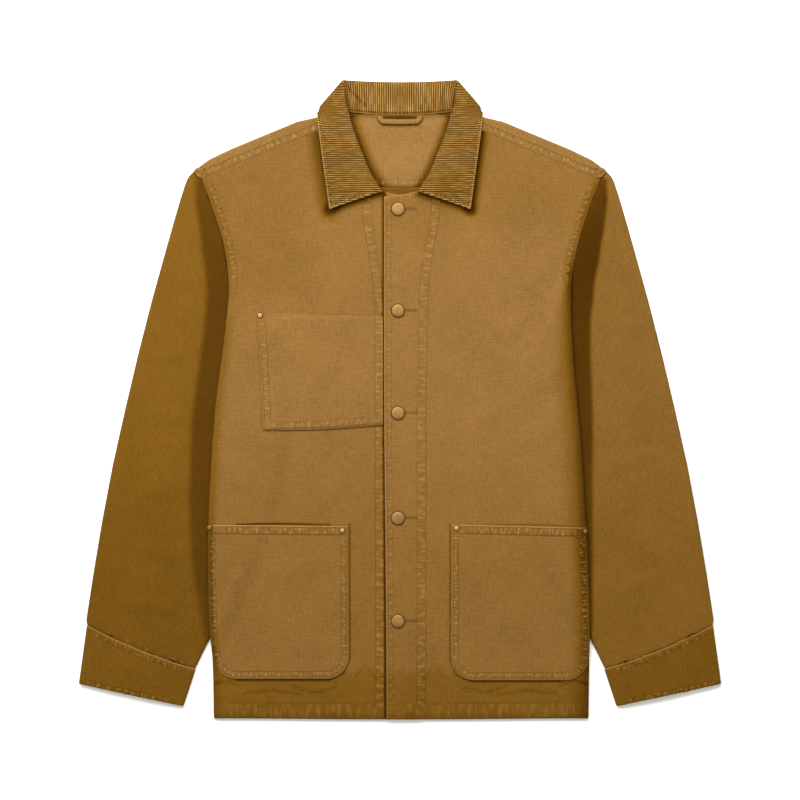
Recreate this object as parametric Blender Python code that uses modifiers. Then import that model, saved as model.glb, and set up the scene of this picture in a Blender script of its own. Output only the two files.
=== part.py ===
"""A chore jacket, buttoned and laid flat on its back.

The jacket rests on the plane z = 0 with its front up and its neck towards +Y. Its wearer's left is
+X. Sizes are in millimetres and become metres where a mesh is made. Each panel is the outer side
of its cloth, worked out from seam lines and heights, and Solidify gives it its wall inwards.
"""

import math

import bmesh
import bpy
import numpy as np

MM = 0.001
CANVAS = 1.5
CORDUROY = 1.6
SEAM_GAP = 0.3
# The front's outer side stands this far above the back's: two walls and the slack between them.
BODY_STACK = 6.2
# What the sleeve's hidden edge lifts the body above it by.
SLEEVE_LIFT = 5.2
# What the collar's back fall lifts the yoke that lies on it by.
COLLAR_LIFT = 2.0
# What the wearer's left front rises by where it laps over the right one.
OVERLAP_RISE = 1.9
OVERLAP_START, OVERLAP_END = 17.0, 33.0

HEM_SIDE = -387.6
HEM_CENTRE = -390.5
BACK_HEM = -385.5
YOKE_SEAM = 262.8
# How far past the centre the wearer's right front reaches, under the left one
UNDERLAP = 15.0
FRONT_TOP = 249.0

# y, then how far out the wearer's right side and the wearer's left side reach
BODY_SIDE = (
    (-391.0, 228.6, 231.4),
    (-325.0, 229.6, 232.2),
    (-290.0, 233.0, 232.8),
    (-220.0, 235.2, 231.2),
    (-150.0, 235.2, 228.2),
    (-100.0, 233.0, 225.2),
    (-50.0, 230.0, 222.0),
    (0.0, 225.6, 217.2),
    (40.0, 220.4, 213.4),
    (75.0, 215.6, 211.0),
    (110.0, 211.4, 209.8),
    (137.0, 209.6, 210.0),
    (181.0, 214.0, 216.0),
    (229.0, 228.0, 230.0),
    (269.0, 243.4, 246.0),
    (281.0, 252.0, 253.0),
)
# y, armhole seam where the body hides it, running in to the underarm
HIDDEN_ARMHOLE = ((118.0, 198.0), (127.0, 203.0), (137.0, 209.6))
# y, how far out the sleeve's hidden inner edge lies
SLEEVE_INNER = (
    (-345.0, 258.0),
    (-292.0, 233.0),
    (-240.0, 212.0),
    (-188.0, 190.0),
    (-140.0, 174.0),
    (-90.0, 162.0),
    (-35.0, 156.0),
    (15.0, 158.0),
    (50.0, 165.0),
    (88.0, 181.0),
    (100.0, 190.0),
    (137.0, 209.6),
)
# y, how far out the sleeve's outer edge lies
SLEEVE_OUTER = (
    (-348.0, 393.2),
    (-318.5, 391.2),
    (-269.5, 384.0),
    (-220.5, 376.6),
    (-171.5, 368.6),
    (-122.5, 360.0),
    (-73.5, 350.4),
    (-24.5, 339.4),
    (24.5, 328.2),
    (73.5, 316.2),
    (122.5, 303.6),
    (171.5, 290.0),
    (220.5, 276.2),
    (245.0, 269.0),
    (269.5, 261.0),
    (280.5, 254.6),
)
# Sleeve sections: outer end's y, inner end's x and y, how much of the armhole's bend is left,
# and the share of the width that the crown takes
SLEEVE_SECTIONS = (
    (280.5, 198.0, 118.0, 1.0, 0.86),
    (268.0, 190.0, 101.0, 0.75, 0.82),
    (248.0, 181.0, 84.0, 0.5, 0.78),
    (218.0, 172.0, 66.0, 0.28, 0.72),
    (176.0, 163.0, 38.0, 0.12, 0.68),
    (122.0, 157.0, -6.0, 0.0, 0.64),
    (58.0, 159.0, -70.0, 0.0, 0.64),
    (-10.0, 174.0, -140.0, 0.0, 0.68),
    (-80.0, 190.0, -188.0, 0.0, 0.74),
    (-150.0, 212.0, -240.0, 0.0, 0.84),
    (-212.0, 232.5, -288.0, 0.0, 1.0),
    (-250.0, 244.5, -313.0, 0.0, 1.0),
    (-274.6, 251.7, -328.3, 0.0, 1.0),
)
CUFF_SEAM_OUTER = (383.6, -274.8)
CUFF_SEAM_INNER = (251.8, -328.3)
CUFF_END_OUTER = (393.2, -348.0)
CUFF_END_INNER = (266.6, -375.2)
CUFF_SEAM_BEND = 5.5
SLEEVE_EDGE = 4.0
SLEEVE_CROWN = 2.4
CUFF_RISE = 0.5

# distance from the centre, y of the shoulder's ridge
SHOULDER_RIDGE = (
    (84.0, 350.6),
    (98.0, 345.4),
    (107.0, 347.4),
    (116.0, 345.2),
    (153.0, 330.6),
    (182.5, 318.3),
    (212.0, 306.0),
    (236.5, 294.0),
    (248.0, 286.9),
    (252.4, 281.4),
)
# distance from the centre, y of the straight seam where the yoke meets the front
FORWARD_SEAM = ((82.0, 338.4), (256.0, 266.4))
# distance from the centre, y of the yoke's edge inside the back neck
BACK_NECK = ((0.0, 348.4), (40.0, 350.2), (61.0, 351.4), (84.0, 348.8))
NECK_CORNER = 85.0
# How far out the front's neckline lies, and its y, from the front edge to the shoulder seam
NECKLINE = (
    (-20.0, 248.7),
    (8.0, 252.6),
    (31.0, 258.0),
    (47.0, 272.0),
    (67.0, 301.0),
    (80.0, 329.0),
    (82.0, 338.1),
)

WALE_PITCH = 2.6
WALE_HEIGHT = 0.55
COLLAR_TIP = (86.4, 234.2, 12.4)
COLLAR_TIP_ROWS = 20.4
# The collar's band from its front end to the centre of the back, for one side. Each row is a line
# along the wales: distance along the band, then x, y and z of the neck seam, the stand's middle,
# the roll, the fall's middle and the outer edge.
COLLAR_ROWS = (
    (20.4, (30, 254.8, 8.6), (26, 254.8, 8.6), (21.4, 254.8, 10.8), (55, 254.8, 13.2), (89.3, 254.8, 13)),
    (46, (52, 280, 7.4), (44.5, 280, 7.3), (36.5, 280, 9.7), (66, 280, 12.3), (92.7, 280, 12.9)),
    (71, (67.6, 305, 6.9), (58, 305, 6.8), (46.8, 305, 9.1), (73, 305, 11.6), (96.2, 305, 12.2)),
    (96, (79.6, 330, 6.8), (68.5, 330, 6.7), (56.4, 330, 8.9), (82, 330, 11.3), (99.6, 330, 10.8)),
    (118, (82.6, 352, 6.6), (73, 352, 6.5), (62.6, 352, 8.6), (96.5, 352, 9.2), (103, 352.2, 5.2)),
    (124, (81.6, 352.2, 5.4), (76.5, 358, 6), (63.6, 358.6, 8.4), (95.4, 359.5, 3.4), (99.5, 350.6, 0.4)),
    (131, (79.6, 352.6, 4.5), (79, 364, 5.4), (64.6, 365, 8.2), (91, 365, 1.5), (92, 345.4, 0)),
    (143, (73, 353.2, 4.4), (72.6, 375, 4.9), (66.6, 377, 7), (79.6, 377.5, 1.3), (80.5, 342.5, 0)),
    (154, (65, 353.4, 4.4), (66.4, 372, 4.4), (68.6, 390.5, 2.2), (69, 366, 0), (69, 341, 0)),
    (168, (54, 352.2, 4.4), (54.5, 371, 4.5), (55.4, 389.7, 2.2), (55, 365, 0), (55, 340, 0)),
    (182, (40, 350.8, 4.4), (40.2, 370, 4.6), (40.4, 389, 2.2), (40, 364, 0), (40, 339, 0)),
    (202, (20, 349.4, 4.4), (20.1, 369, 4.6), (20.2, 388.4, 2.2), (20, 363.5, 0), (20, 338.3, 0)),
    (221, (0, 349, 4.4), (0, 369, 4.6), (0, 388.2, 2.2), (0, 363.5, 0), (0, 338, 0)),
)

# name, side, inner edge's x at the top and at the bottom, y of the inner and outer top, y of the bottom
LOWER_POCKETS = (
    ("pocket_right", -1, 63.4, 62.6, -154.4, -152.6, -341.8),
    ("pocket_left", 1, 63.0, 62.4, -152.4, -156.0, -343.4),
)
POCKET_CORNER = 28.0
CHEST_TOP_OUTER, CHEST_TOP_INNER = 107.6, 102.0
CHEST_OUTER_TOP, CHEST_OUTER_BOTTOM = -175.8, -167.8
CHEST_INNER = -20.6
CHEST_BOTTOM_OUTER, CHEST_BOTTOM_INNER = -38.0, -31.0
# How far the pockets' outer sides are off the fronts'
PATCH_OUT = CANVAS + 1.4 * SEAM_GAP
CHEST_OUT = CANVAS + 3 * SEAM_GAP

BUTTON_X = -2.5
BUTTON_YS = (234.0, 109.6, -15.9, -144.6, -270.7)
BUTTON_RADIUS, BUTTON_HEIGHT = 8.6, 3.6
# name, side, how far out, y
RIVETS = (
    ("rivet_chest", -1, 171.6, 103.6),
    ("rivet_right_outer", -1, 233.6, -155.6),
    ("rivet_right_inner", -1, 70.6, -159.8),
    ("rivet_left_inner", 1, 69.2, -156.8),
    ("rivet_left_outer", 1, 226.6, -160.4),
)
RIVET_RADIUS, RIVET_HEIGHT = 3.6, 1.5

LOOP_WIDTH = 7.6
# The hanger loop's middle line from seam to seam, as x and y
LOOP_LINE = (
    (-24.6, 348.0),
    (-24.4, 344.6),
    (-20.6, 341.6),
    (0.0, 341.0),
    (20.6, 341.6),
    (24.4, 344.6),
    (24.6, 348.0),
)


def smoothstep(value):
    value = np.clip(value, 0.0, 1.0)
    return value * value * (3.0 - 2.0 * value)


def follow(table, at, column=1):
    """A smooth curve through one column of a table, with no overshoot between its rows."""
    keys = np.array([row[0] for row in table], float)
    values = np.array([row[column] for row in table], float)
    steps = np.diff(keys)
    slopes = np.diff(values, axis=0) / steps.reshape(-1, *[1] * (values.ndim - 1))
    before, after = slopes[:-1], slopes[1:]
    same_way = before * after > 0
    total = np.where(same_way, before + after, 1.0)
    middle = np.where(same_way, 2.0 * before * after / total, 0.0)
    tangents = np.concatenate([slopes[:1], middle, slopes[-1:]])
    at = np.clip(at, keys[0], keys[-1])
    i = np.clip(np.searchsorted(keys, at) - 1, 0, len(steps) - 1)
    step = steps[i]
    t = (at - keys[i]) / step
    start, end = values[i] * (1 + 2 * t) * (1 - t) ** 2, values[i + 1] * t * t * (3 - 2 * t)
    return start + end + step * tangents[i] * t * (1 - t) ** 2 - step * tangents[i + 1] * t * t * (1 - t)


def body_side(y, side):
    return follow(BODY_SIDE, y, 1 if side < 0 else 2)


def ramp_foot(y):
    """How far out the body starts to rise over the sleeve's hidden edge, and how far out it is up."""
    inner = follow(SLEEVE_INNER, y)
    return inner - 24.0, inner - 5.0


def lift(x, y):
    """Height of the back's outer side: on the floor, and over the sleeves' hidden edges."""
    foot, top = ramp_foot(y)
    along = smoothstep((166.0 - y) / 26.0) * smoothstep((y + 330.0) / 60.0)
    return SLEEVE_LIFT * np.clip((abs(x) - foot) / (top - foot), 0.0, 1.0) * along


def neck_lift(x, y):
    """Height of the yoke over the collar's back fall."""
    return COLLAR_LIFT * smoothstep((y - 322.0) / 12.0) * smoothstep((122.0 - abs(x)) / 14.0)


def front_height(x, y, side):
    """Height of a front's outer side away from its rolled edge. x is positive towards its side."""
    ramp = np.clip((OVERLAP_END - x) / (OVERLAP_END - OVERLAP_START), 0.0, 1.0)
    return lift(x, y) + BODY_STACK + (OVERLAP_RISE * ramp if side > 0 else 0.0)


def roll_of(y):
    """Radius, turn and hidden width of a front's side edge at this height up the body."""
    at_armhole = smoothstep((y - 108.0) / 40.0)
    radius = (1 - at_armhole) * BODY_STACK / 2 + at_armhole * 1.3
    turn = math.radians(180.0 - 100.0 * at_armhole)
    tuck = 19.0 * (1 - smoothstep((y - 98.0) / 39.0)) + 0.4
    return radius, turn, tuck


def material(name, colour, roughness, metallic=0.0):
    made = bpy.data.materials.new(name)
    made.use_nodes = True
    shader = made.node_tree.nodes["Principled BSDF"]
    shader.inputs["Base Color"].default_value = (*colour, 1.0)
    shader.inputs["Roughness"].default_value = roughness
    shader.inputs["Metallic"].default_value = metallic
    return made


def add_object(name, mesh, look):
    for face in mesh.polygons:
        face.use_smooth = True
    mesh.set_sharp_from_angle(angle=math.radians(40))
    mesh.materials.append(look)
    made = bpy.data.objects.new(name, mesh)
    jacket.objects.link(made)
    return made


def surface(name, grid, closed=False, kept=None):
    """A mesh of quads through a grid of points. Rows may close on themselves, and kept picks cells."""
    rows, columns = grid.shape[:2]
    mesh = bpy.data.meshes.new(name)
    shell = bmesh.new()
    corners = [[shell.verts.new(point * MM) for point in row] for row in grid]
    for i in range(rows - 1):
        for j in range(columns if closed else columns - 1):
            if kept is None or kept(i, j):
                k = (j + 1) % columns
                shell.faces.new((corners[i][j], corners[i][k], corners[i + 1][k], corners[i + 1][j]))
    loose = [vert for vert in shell.verts if not vert.link_faces]
    bmesh.ops.delete(shell, geom=loose, context="VERTS")
    shell.to_mesh(mesh)
    shell.free()
    return mesh


def panel(name, grid, look, wall=CANVAS, flip=False, closed=False, kept=None):
    """Cloth with its outer side on the grid and its wall inwards."""
    if flip:
        grid = grid[::-1]
    made = add_object(name, surface(name, grid, closed, kept), look)
    thicken = made.modifiers.new("Wall", "SOLIDIFY")
    thicken.thickness = wall * MM
    thicken.offset = -1.0
    return made


def line_at(points, share):
    """The point this share of the way along a line of points."""
    points = np.array(points, float)
    lengths = np.linalg.norm(np.diff(points, axis=0), axis=1)
    along = np.concatenate([[0.0], np.cumsum(lengths)]) / lengths.sum()
    return np.array([np.interp(share, along, points[:, axis]) for axis in range(points.shape[1])])


def front_edge(y, side):
    """How far past the centre a front reaches, positive towards its own side."""
    if side < 0:
        return -UNDERLAP
    return -19.8 + 3.2 * smoothstep((60.0 - y) / 450.0)


POCKET_INNER = 63.0
FRONT_ROWS = (
    HEM_CENTRE, -366.0, -343.0, -315.0, -290.0, -260.0, -225.0, -190.0, -153.0, -118.0, -84.0, -50.0, -15.0,
    20.0, 50.0, 76.0, 98.0, 112.0, 124.0, 137.0, 150.0, 166.0, 190.0, 218.0, 240.0,
)
STRAIGHT_TOP = FRONT_ROWS[-1]
TOP_STEPS = (0.25, 0.5, 0.75, 1.0)
NECKLINE_COLUMNS = 4
ROLL_STEPS = 5


def body_columns(y, side):
    """How far out the body's lines lie at this height, from the overlap to where the side rolls."""
    flat = body_side(y, side) - roll_of(y)[0]
    foot, top = ramp_foot(y)
    top = min(top, flat - 7.0)
    foot = min(foot, top - 15.0)
    inner = [OVERLAP_START, OVERLAP_END, POCKET_INNER, (POCKET_INNER + foot) / 2]
    return inner + [foot, top, (top + flat) / 2, flat]


def hem_y(x):
    return HEM_CENTRE + smoothstep(x / 180.0 - 0.2) * (HEM_SIDE - HEM_CENTRE)


def front_row(side, y):
    """The points of one straight row of a front, and of its rolled edge and hidden tuck."""
    plan = [(x, hem_y(x) if y == HEM_CENTRE else y) for x in [front_edge(y, side), *body_columns(y, side)]]
    return finish_row(side, plan)


def finish_row(side, plan):
    points = [(side * x, y, front_height(x, y, side)) for x, y in plan]
    x, y = plan[-1]
    radius, turn, tuck = roll_of(y)
    centre = front_height(x, y, side) - radius
    for step in range(1, ROLL_STEPS + 1):
        angle = turn * step / ROLL_STEPS
        points.append((side * (x + radius * math.sin(angle)), y, centre + radius * math.cos(angle)))
    end_x, _, end_z = points[-1]
    under_x = end_x + side * tuck * math.cos(turn)
    wrapped = smoothstep((turn - math.radians(120)) / math.radians(60))
    down_z = end_z - min(tuck, 1.0) * math.sin(turn)
    points.append((under_x, y, wrapped * lift(under_x, y) + (1 - wrapped) * down_z))
    return points


def front(side, name, look):
    rows = [front_row(side, y) for y in FRONT_ROWS]
    start = [front_edge(STRAIGHT_TOP, side), *body_columns(STRAIGHT_TOP, side)]
    neckline = [(start[0], FRONT_TOP), *NECKLINE[1:]]
    last_x = body_side(271.0, side) - roll_of(271.0)[0]
    tops = [line_at(neckline, j / NECKLINE_COLUMNS) for j in range(NECKLINE_COLUMNS + 1)]
    shoulder = len(start) - len(tops)
    for j in range(1, shoulder + 1):
        x = NECKLINE[-1][0] + j / shoulder * (last_x - NECKLINE[-1][0])
        tops.append((x, follow(FORWARD_SEAM, x) - SEAM_GAP))
    for step in TOP_STEPS:
        plan = []
        for x, (top_x, top_y) in zip(start, tops):
            plan.append((x + step * (top_x - x), STRAIGHT_TOP + step * (top_y - STRAIGHT_TOP)))
        x, y = plan[-1]
        plan[-1] = (body_side(y, side) - roll_of(y)[0], y)
        rows.append(finish_row(side, plan))
    return panel(name, np.array(rows), look, flip=side < 0)


def on_front(side, x, y, out):
    """A point this far off a front's outer side, on the flat faces between its lines and rows."""
    i = int(np.clip(np.searchsorted(FRONT_ROWS, y) - 1, 0, len(FRONT_ROWS) - 2))
    share = (y - FRONT_ROWS[i]) / (FRONT_ROWS[i + 1] - FRONT_ROWS[i])
    line = [raised_row(side, FRONT_ROWS[i + k], out) for k in (0, 1)]
    line = (1 - share) * line[0] + share * line[1]
    return np.array([side * x, y, np.interp(x, line[:, 0], line[:, 1])])


def raised_row(side, y, out):
    """How far out and how high the points of a front's upper side are, moved off it."""
    row = front_row(side, y)
    flat = len(body_columns(y, side)) + 1
    points = [(side * px, pz + out) for px, _, pz in row[:flat]]
    radius, turn, _ = roll_of(y)
    centre_x, centre_z = points[-1][0], points[-1][1] - out - radius
    for step in (1, 2):
        angle = turn * step / ROLL_STEPS
        reach = radius + out
        points.append((centre_x + reach * math.sin(angle), centre_z + reach * math.cos(angle)))
    return np.array(points)


BACK_ROWS = (BACK_HEM, *FRONT_ROWS[1:-1], 261.8)


def back_reach(y, side):
    """How far out the back panel reaches: to the side seam under the front, or to the armhole."""
    radius, turn, tuck = roll_of(y)
    if y < 137.0:
        return body_side(y, side) - radius - tuck - 2 * SEAM_GAP
    return body_side(y, side) - SEAM_GAP - 0.5 - 3.0 * smoothstep((170.0 - y) / 30.0)


def back(look):
    rows = []
    for y in BACK_ROWS:
        halves = []
        for side in (-1, 1):
            lines = body_columns(y, side)[:-1]
            reach = back_reach(y, side)
            lines[-1] = reach
            lines[-2] = min(lines[-2], reach - 3.0)
            lines[-3] = min(lines[-3], lines[-2] - 8.0)
            halves.append([(side * x, y, lift(x, y)) for x in lines])
        rows.append(halves[0][::-1] + [(0.0, y, 0.0)] + halves[1])
    return panel("back", np.array(rows), look, flip=True)


YOKE_SHARES = (0.0, 0.17, 0.338, 0.41, 0.5, 0.66, 0.82, 0.93, 1.0)
YOKE_BASE = (0.0, 0.3, 0.6, 0.82, 1.0)
YOKE_TURN_STEPS = 5


def yoke_column(side, share):
    """One line up the yoke's outer side, over the shoulder and down to the forward seam."""
    tip = body_side(281.0, side) - SEAM_GAP
    x_top = share * tip
    x_seam = share * (body_side(YOKE_SEAM, side) - SEAM_GAP - 0.5)
    ridge = follow(SHOULDER_RIDGE, x_top)
    base = neck_lift(x_top, ridge)
    radius = (BODY_STACK - base) / 2
    if x_top < NECK_CORNER - 1.0:
        top = follow(BACK_NECK, x_top)
    else:
        top = ridge - radius
    points = []
    for step in YOKE_BASE:
        y = YOKE_SEAM + step * (top - YOKE_SEAM)
        x = x_seam + step * (x_top - x_seam)
        points.append((side * x, y, neck_lift(x, y)))
    for step in range(1, YOKE_TURN_STEPS + 1):
        angle = math.pi * step / YOKE_TURN_STEPS
        y = top + radius * math.sin(angle)
        points.append((side * x_top, y, base + radius * (1 - math.cos(angle))))
    x_end = min(x_top, body_side(follow(FORWARD_SEAM, x_top), side) - 1.0)
    seam = follow(FORWARD_SEAM, x_end)
    for share_down in (0.5, 1.0):
        y = top + share_down * (seam - top)
        x = x_top + share_down * (x_end - x_top)
        points.append((side * x, y, BODY_STACK))
    return points


def back_yoke(look):
    columns = [yoke_column(-1, share) for share in YOKE_SHARES[:0:-1]]
    columns += [yoke_column(1, share) for share in YOKE_SHARES]
    grid = np.array(columns).transpose(1, 0, 2)
    middle = len(YOKE_SHARES) - 1
    neck = sum(1 for share in YOKE_SHARES if share * 252.0 < NECK_CORNER)
    base_rows = len(YOKE_BASE) - 1

    def kept(i, j):
        return i >= grid.shape[0] - 1 - base_rows or not middle - neck <= j < middle + neck

    return panel("back_yoke", grid, look, flip=True, kept=kept)


EDGE_STEPS = 5
TOP_SHARES = (0.16, 0.33, 0.5, 0.68, 0.85)
BOTTOM_SHARES = (0.8, 0.5, 0.2)


def tube_section(line, crown_share, rise):
    """One section of a flattened tube along a plan line from its outer to its inner edge."""
    radius = (SLEEVE_EDGE + rise) / 2
    plan = np.array([line(share) for share in np.linspace(0.0, 1.0, 11)])
    inset = radius / np.sum(np.linalg.norm(np.diff(plan, axis=0), axis=1))
    points = []

    def add(share, z):
        x, y = line(share)
        points.append((x, y, z))

    for step in range(EDGE_STEPS):
        angle = math.pi * (step + 0.5) / EDGE_STEPS
        add(inset * (1 - math.sin(angle)), radius * (1 - math.cos(angle)))
    for share in TOP_SHARES:
        hump = math.sin(math.pi * min(share / crown_share, 1.0))
        add(share, 2 * radius + SLEEVE_CROWN * hump)
    for step in range(EDGE_STEPS):
        angle = math.pi * (step + 0.5) / EDGE_STEPS
        add(1 - inset * (1 - math.sin(angle)), radius * (1 + math.cos(angle)))
    for share in BOTTOM_SHARES:
        add(share, 0.0)
    return points


def sleeve(side, name, look):
    armhole_ys = (281.0, HIDDEN_ARMHOLE[0][0])

    def armhole(t):
        y = armhole_ys[0] + t * (armhole_ys[1] - armhole_ys[0])
        x = follow(HIDDEN_ARMHOLE, y) if y < 137.0 else body_side(y, side)
        return np.array([x + SEAM_GAP + 0.5, y])

    rings = []
    for outer_y, inner_x, inner_y, bend, crown_share in SLEEVE_SECTIONS:
        outer = np.array([follow(SLEEVE_OUTER, outer_y), outer_y])
        inner = np.array([inner_x, inner_y])

        def line(t):
            straight = outer + t * (inner - outer)
            chord = armhole(0.0) + t * (armhole(1.0) - armhole(0.0))
            seam_bend = CUFF_SEAM_BEND * smoothstep((-200.0 - outer_y) / 70.0) * 4 * t * (1 - t)
            x, y = straight + bend * (armhole(t) - chord) + np.array([-0.35, -0.94]) * seam_bend
            return np.array([side * x, y])

        rings.append(tube_section(line, crown_share, 0.0))
    return panel(name, np.array(rings), look, flip=side < 0, closed=True)


def cuff(side, name, look):
    rings = []
    for share in (0.0, 0.06, 0.5, 1.0):
        outer = np.array(CUFF_SEAM_OUTER) + share * (np.array(CUFF_END_OUTER) - CUFF_SEAM_OUTER)
        inner = np.array(CUFF_SEAM_INNER) + share * (np.array(CUFF_END_INNER) - CUFF_SEAM_INNER)
        drop = 1.1 * (1 - share)

        def line(t):
            x, y = outer + t * (inner - outer)
            bend = CUFF_SEAM_BEND * (1 - share) * 4 * t * (1 - t) + drop
            return np.array([side * (x - 0.35 * bend), y - 0.94 * bend])

        rings.append(tube_section(line, 1.0, CUFF_RISE * min(1.0, share * 12)))
    return panel(name, np.array(rings), look, wall=CANVAS + 0.2, flip=side < 0, closed=True)


def collar_row(distance):
    """The five guide points of one line along the wales."""
    if distance >= COLLAR_TIP_ROWS:
        return [follow(COLLAR_ROWS, distance, column) for column in range(1, 6)]
    share = distance / COLLAR_TIP_ROWS
    first = COLLAR_ROWS[0]
    tip = np.array(COLLAR_TIP)
    end = tip + share * (np.array(first[3]) - tip)
    edge = tip + share * (np.array(first[5]) - tip)
    end[0] -= 2.4 * (1 - share)
    return [end, end, end, (end + edge) / 2, edge]


def collar(look):
    """The band's outer side has a raised wale for every two rows. Its inside is plain."""
    step = WALE_PITCH / 2
    count = int(COLLAR_ROWS[-1][0] / step) // 2 * 2
    distances = np.linspace(0.0, COLLAR_ROWS[-1][0], count + 1)
    skin = []
    for distance in distances:
        seam, stand, roll, fall, edge = collar_row(distance)
        below = roll + (stand - roll) * min(2.3 / (np.linalg.norm(stand - roll) + 0.01), 0.7)
        above = roll + (fall - roll) * min(2.3 / (np.linalg.norm(fall - roll) + 0.01), 0.7)
        below[2] = roll[2] + 0.88 * (stand[2] - roll[2])
        above[2] = roll[2] + 0.88 * (fall[2] - roll[2])
        skin.append([seam, stand, below, roll, above, fall, edge])
    skin = np.array(skin)
    along = np.gradient(skin, axis=0)
    across = np.gradient(skin, axis=1)
    tip_rows = int(np.sum(distances < COLLAR_TIP_ROWS - step / 2))
    across[:tip_rows, :4] = across[:tip_rows, 5:6]
    normal = np.cross(across, along)
    normal /= np.linalg.norm(normal, axis=2, keepdims=True) + 1e-9
    crest = (np.arange(len(skin)) % 2)[:, None] * np.array([0.0, 1.0, 1.0, 1.0, 1.0, 1.0, 0.0])[None, :]
    outer = skin - normal * (WALE_HEIGHT * (1 - crest))[:, :, None]
    inner = skin - normal * CORDUROY
    last = len(skin) - 1
    outer[last, :, 0] = 0.0
    inner[last, :, 0] = 0.0

    shell = bmesh.new()
    out = [[shell.verts.new(point * MM) for point in row] for row in outer]
    ins = [[shell.verts.new(point * MM) for point in row] for row in inner]
    cells = [(i, j) for i in range(last) for j in range(6) if i >= tip_rows or j >= 4]
    for i, j in cells:
        shell.faces.new((out[i][j], out[i][j + 1], out[i + 1][j + 1], out[i + 1][j]))
        shell.faces.new((ins[i][j], ins[i + 1][j], ins[i + 1][j + 1], ins[i][j + 1]))
    for i in range(last):
        first = 0 if i >= tip_rows else 4
        shell.faces.new((out[i][6], ins[i][6], ins[i + 1][6], out[i + 1][6]))
        shell.faces.new((out[i + 1][first], ins[i + 1][first], ins[i][first], out[i][first]))
    for j in range(4, 6):
        shell.faces.new((out[0][j + 1], out[0][j], ins[0][j], ins[0][j + 1]))
    for j in range(4):
        shell.faces.new((out[tip_rows][j + 1], out[tip_rows][j], ins[tip_rows][j], ins[tip_rows][j + 1]))
    spare = [i for i in range(1, last) if (i - tip_rows) % 6 and i != tip_rows]
    plain = {vert for i in spare for vert in ins[i] if vert.link_faces}
    rungs = {vert for i in spare for vert in (out[i][6], out[i][0 if i >= tip_rows else 4])}
    merged = [
        edge
        for edge in shell.edges
        if (edge.verts[0] in plain and edge.verts[1] in plain and shares_row(edge, ins, spare))
        or (len({*edge.verts} & plain) == 1 and len({*edge.verts} & rungs) == 1)
    ]
    bmesh.ops.dissolve_edges(shell, edges=merged, use_verts=True)
    loose = [vert for vert in shell.verts if not vert.link_faces]
    bmesh.ops.delete(shell, geom=loose, context="VERTS")
    bmesh.ops.triangulate(shell, faces=shell.faces[:])
    mesh = bpy.data.meshes.new("collar")
    shell.to_mesh(mesh)
    shell.free()
    made = add_object("collar", mesh, look)
    mirror = made.modifiers.new("Other side", "MIRROR")
    mirror.merge_threshold = 0.00002
    return made


def shares_row(edge, rows, picked):
    """Whether an edge of the grid runs along one of the picked rows."""
    ends = {*edge.verts}
    return any(ends <= set(rows[i]) for i in picked)


CORNER_DROPS = (15.0, 7.0, 2.6, 0.0)


def lower_pocket(name, side, inner_top, inner_bottom, y_inner, y_outer, y_bottom, look):
    """A patch from its inner edge out on to the rolled side edge, with round lower corners."""
    straight = [y for y in FRONT_ROWS[::-1] if y_bottom + POCKET_CORNER - 3.0 < y < y_inner - 6.0]
    heights = [None, *straight, *[y_bottom + drop for drop in CORNER_DROPS]]
    rows = []
    for height in heights:
        level = y_inner if height is None else height
        lines = body_columns(level, side)[2:]
        drop = level - y_bottom
        cut = 0.0
        if drop < POCKET_CORNER - 3.0:
            cut = POCKET_CORNER - math.sqrt(POCKET_CORNER**2 - (POCKET_CORNER - drop) ** 2)
        down = (y_inner - level) / (y_inner - y_bottom)
        lines[0] = inner_top + down * (inner_bottom - inner_top) + cut
        radius = roll_of(level)[0]
        if cut > 0.0:
            lines[-1] = min(lines[-1], lines[-1] + radius - 0.6 - cut)
            for k, gap in ((-2, 4.0), (-3, 8.0), (-4, 12.0)):
                lines[k] = min(lines[k], lines[k + 1] - gap)
        reach = body_side(level, side) - cut
        lines += [max(lines[-1] + 1.0, reach - 1.1), max(lines[-1] + 2.0, reach + 0.2)]
        points = []
        for x in lines:
            share = (x - lines[0]) / (lines[-1] - lines[0])
            y = y_inner + share * (y_outer - y_inner) if height is None else level
            points.append(on_front(side, x, y, PATCH_OUT))
        rows.append(points)
    return panel(name, np.array(rows), look, flip=side > 0)


def chest_pocket(look):
    rows = []
    for level in (CHEST_TOP_OUTER, 98.0, 76.0, 50.0, 20.0, -15.0, CHEST_BOTTOM_OUTER):
        down = (CHEST_TOP_OUTER - level) / (CHEST_TOP_OUTER - CHEST_BOTTOM_OUTER)
        outer = -CHEST_OUTER_TOP + down * (CHEST_OUTER_TOP - CHEST_OUTER_BOTTOM)
        lines = body_columns(level, -1)[1:6]
        lines[3] = min(lines[3], outer - 4.0)
        lines[4] = min(lines[4], outer - 2.0)
        points = []
        for x in (-CHEST_INNER, *lines, outer):
            share = (outer - x) / (outer + CHEST_INNER)
            y = level
            if level == CHEST_TOP_OUTER:
                y += share * (CHEST_TOP_INNER - CHEST_TOP_OUTER)
            elif level == CHEST_BOTTOM_OUTER:
                y += share * (CHEST_BOTTOM_INNER - CHEST_BOTTOM_OUTER)
            points.append(on_front(-1, x, y, CHEST_OUT))
        rows.append(points)
    return panel("chest_pocket", np.array(rows), look)


def hanger_loop(look):
    """A narrow strip from the neck seam, across and back to it."""
    points = np.array(LOOP_LINE)
    run = np.gradient(points, axis=0)
    side_way = np.stack([-run[:, 1], run[:, 0]], axis=1)
    side_way /= np.linalg.norm(side_way, axis=1, keepdims=True)
    height = COLLAR_LIFT + CANVAS + SEAM_GAP + CANVAS
    rows = []
    for edge in (-0.5, 0.5):
        plan = points + side_way * edge * LOOP_WIDTH
        rows.append([(x, y, height) for x, y in plan])
    return panel("hanger_loop", np.array(rows), look, wall=CANVAS - 0.1)


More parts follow.
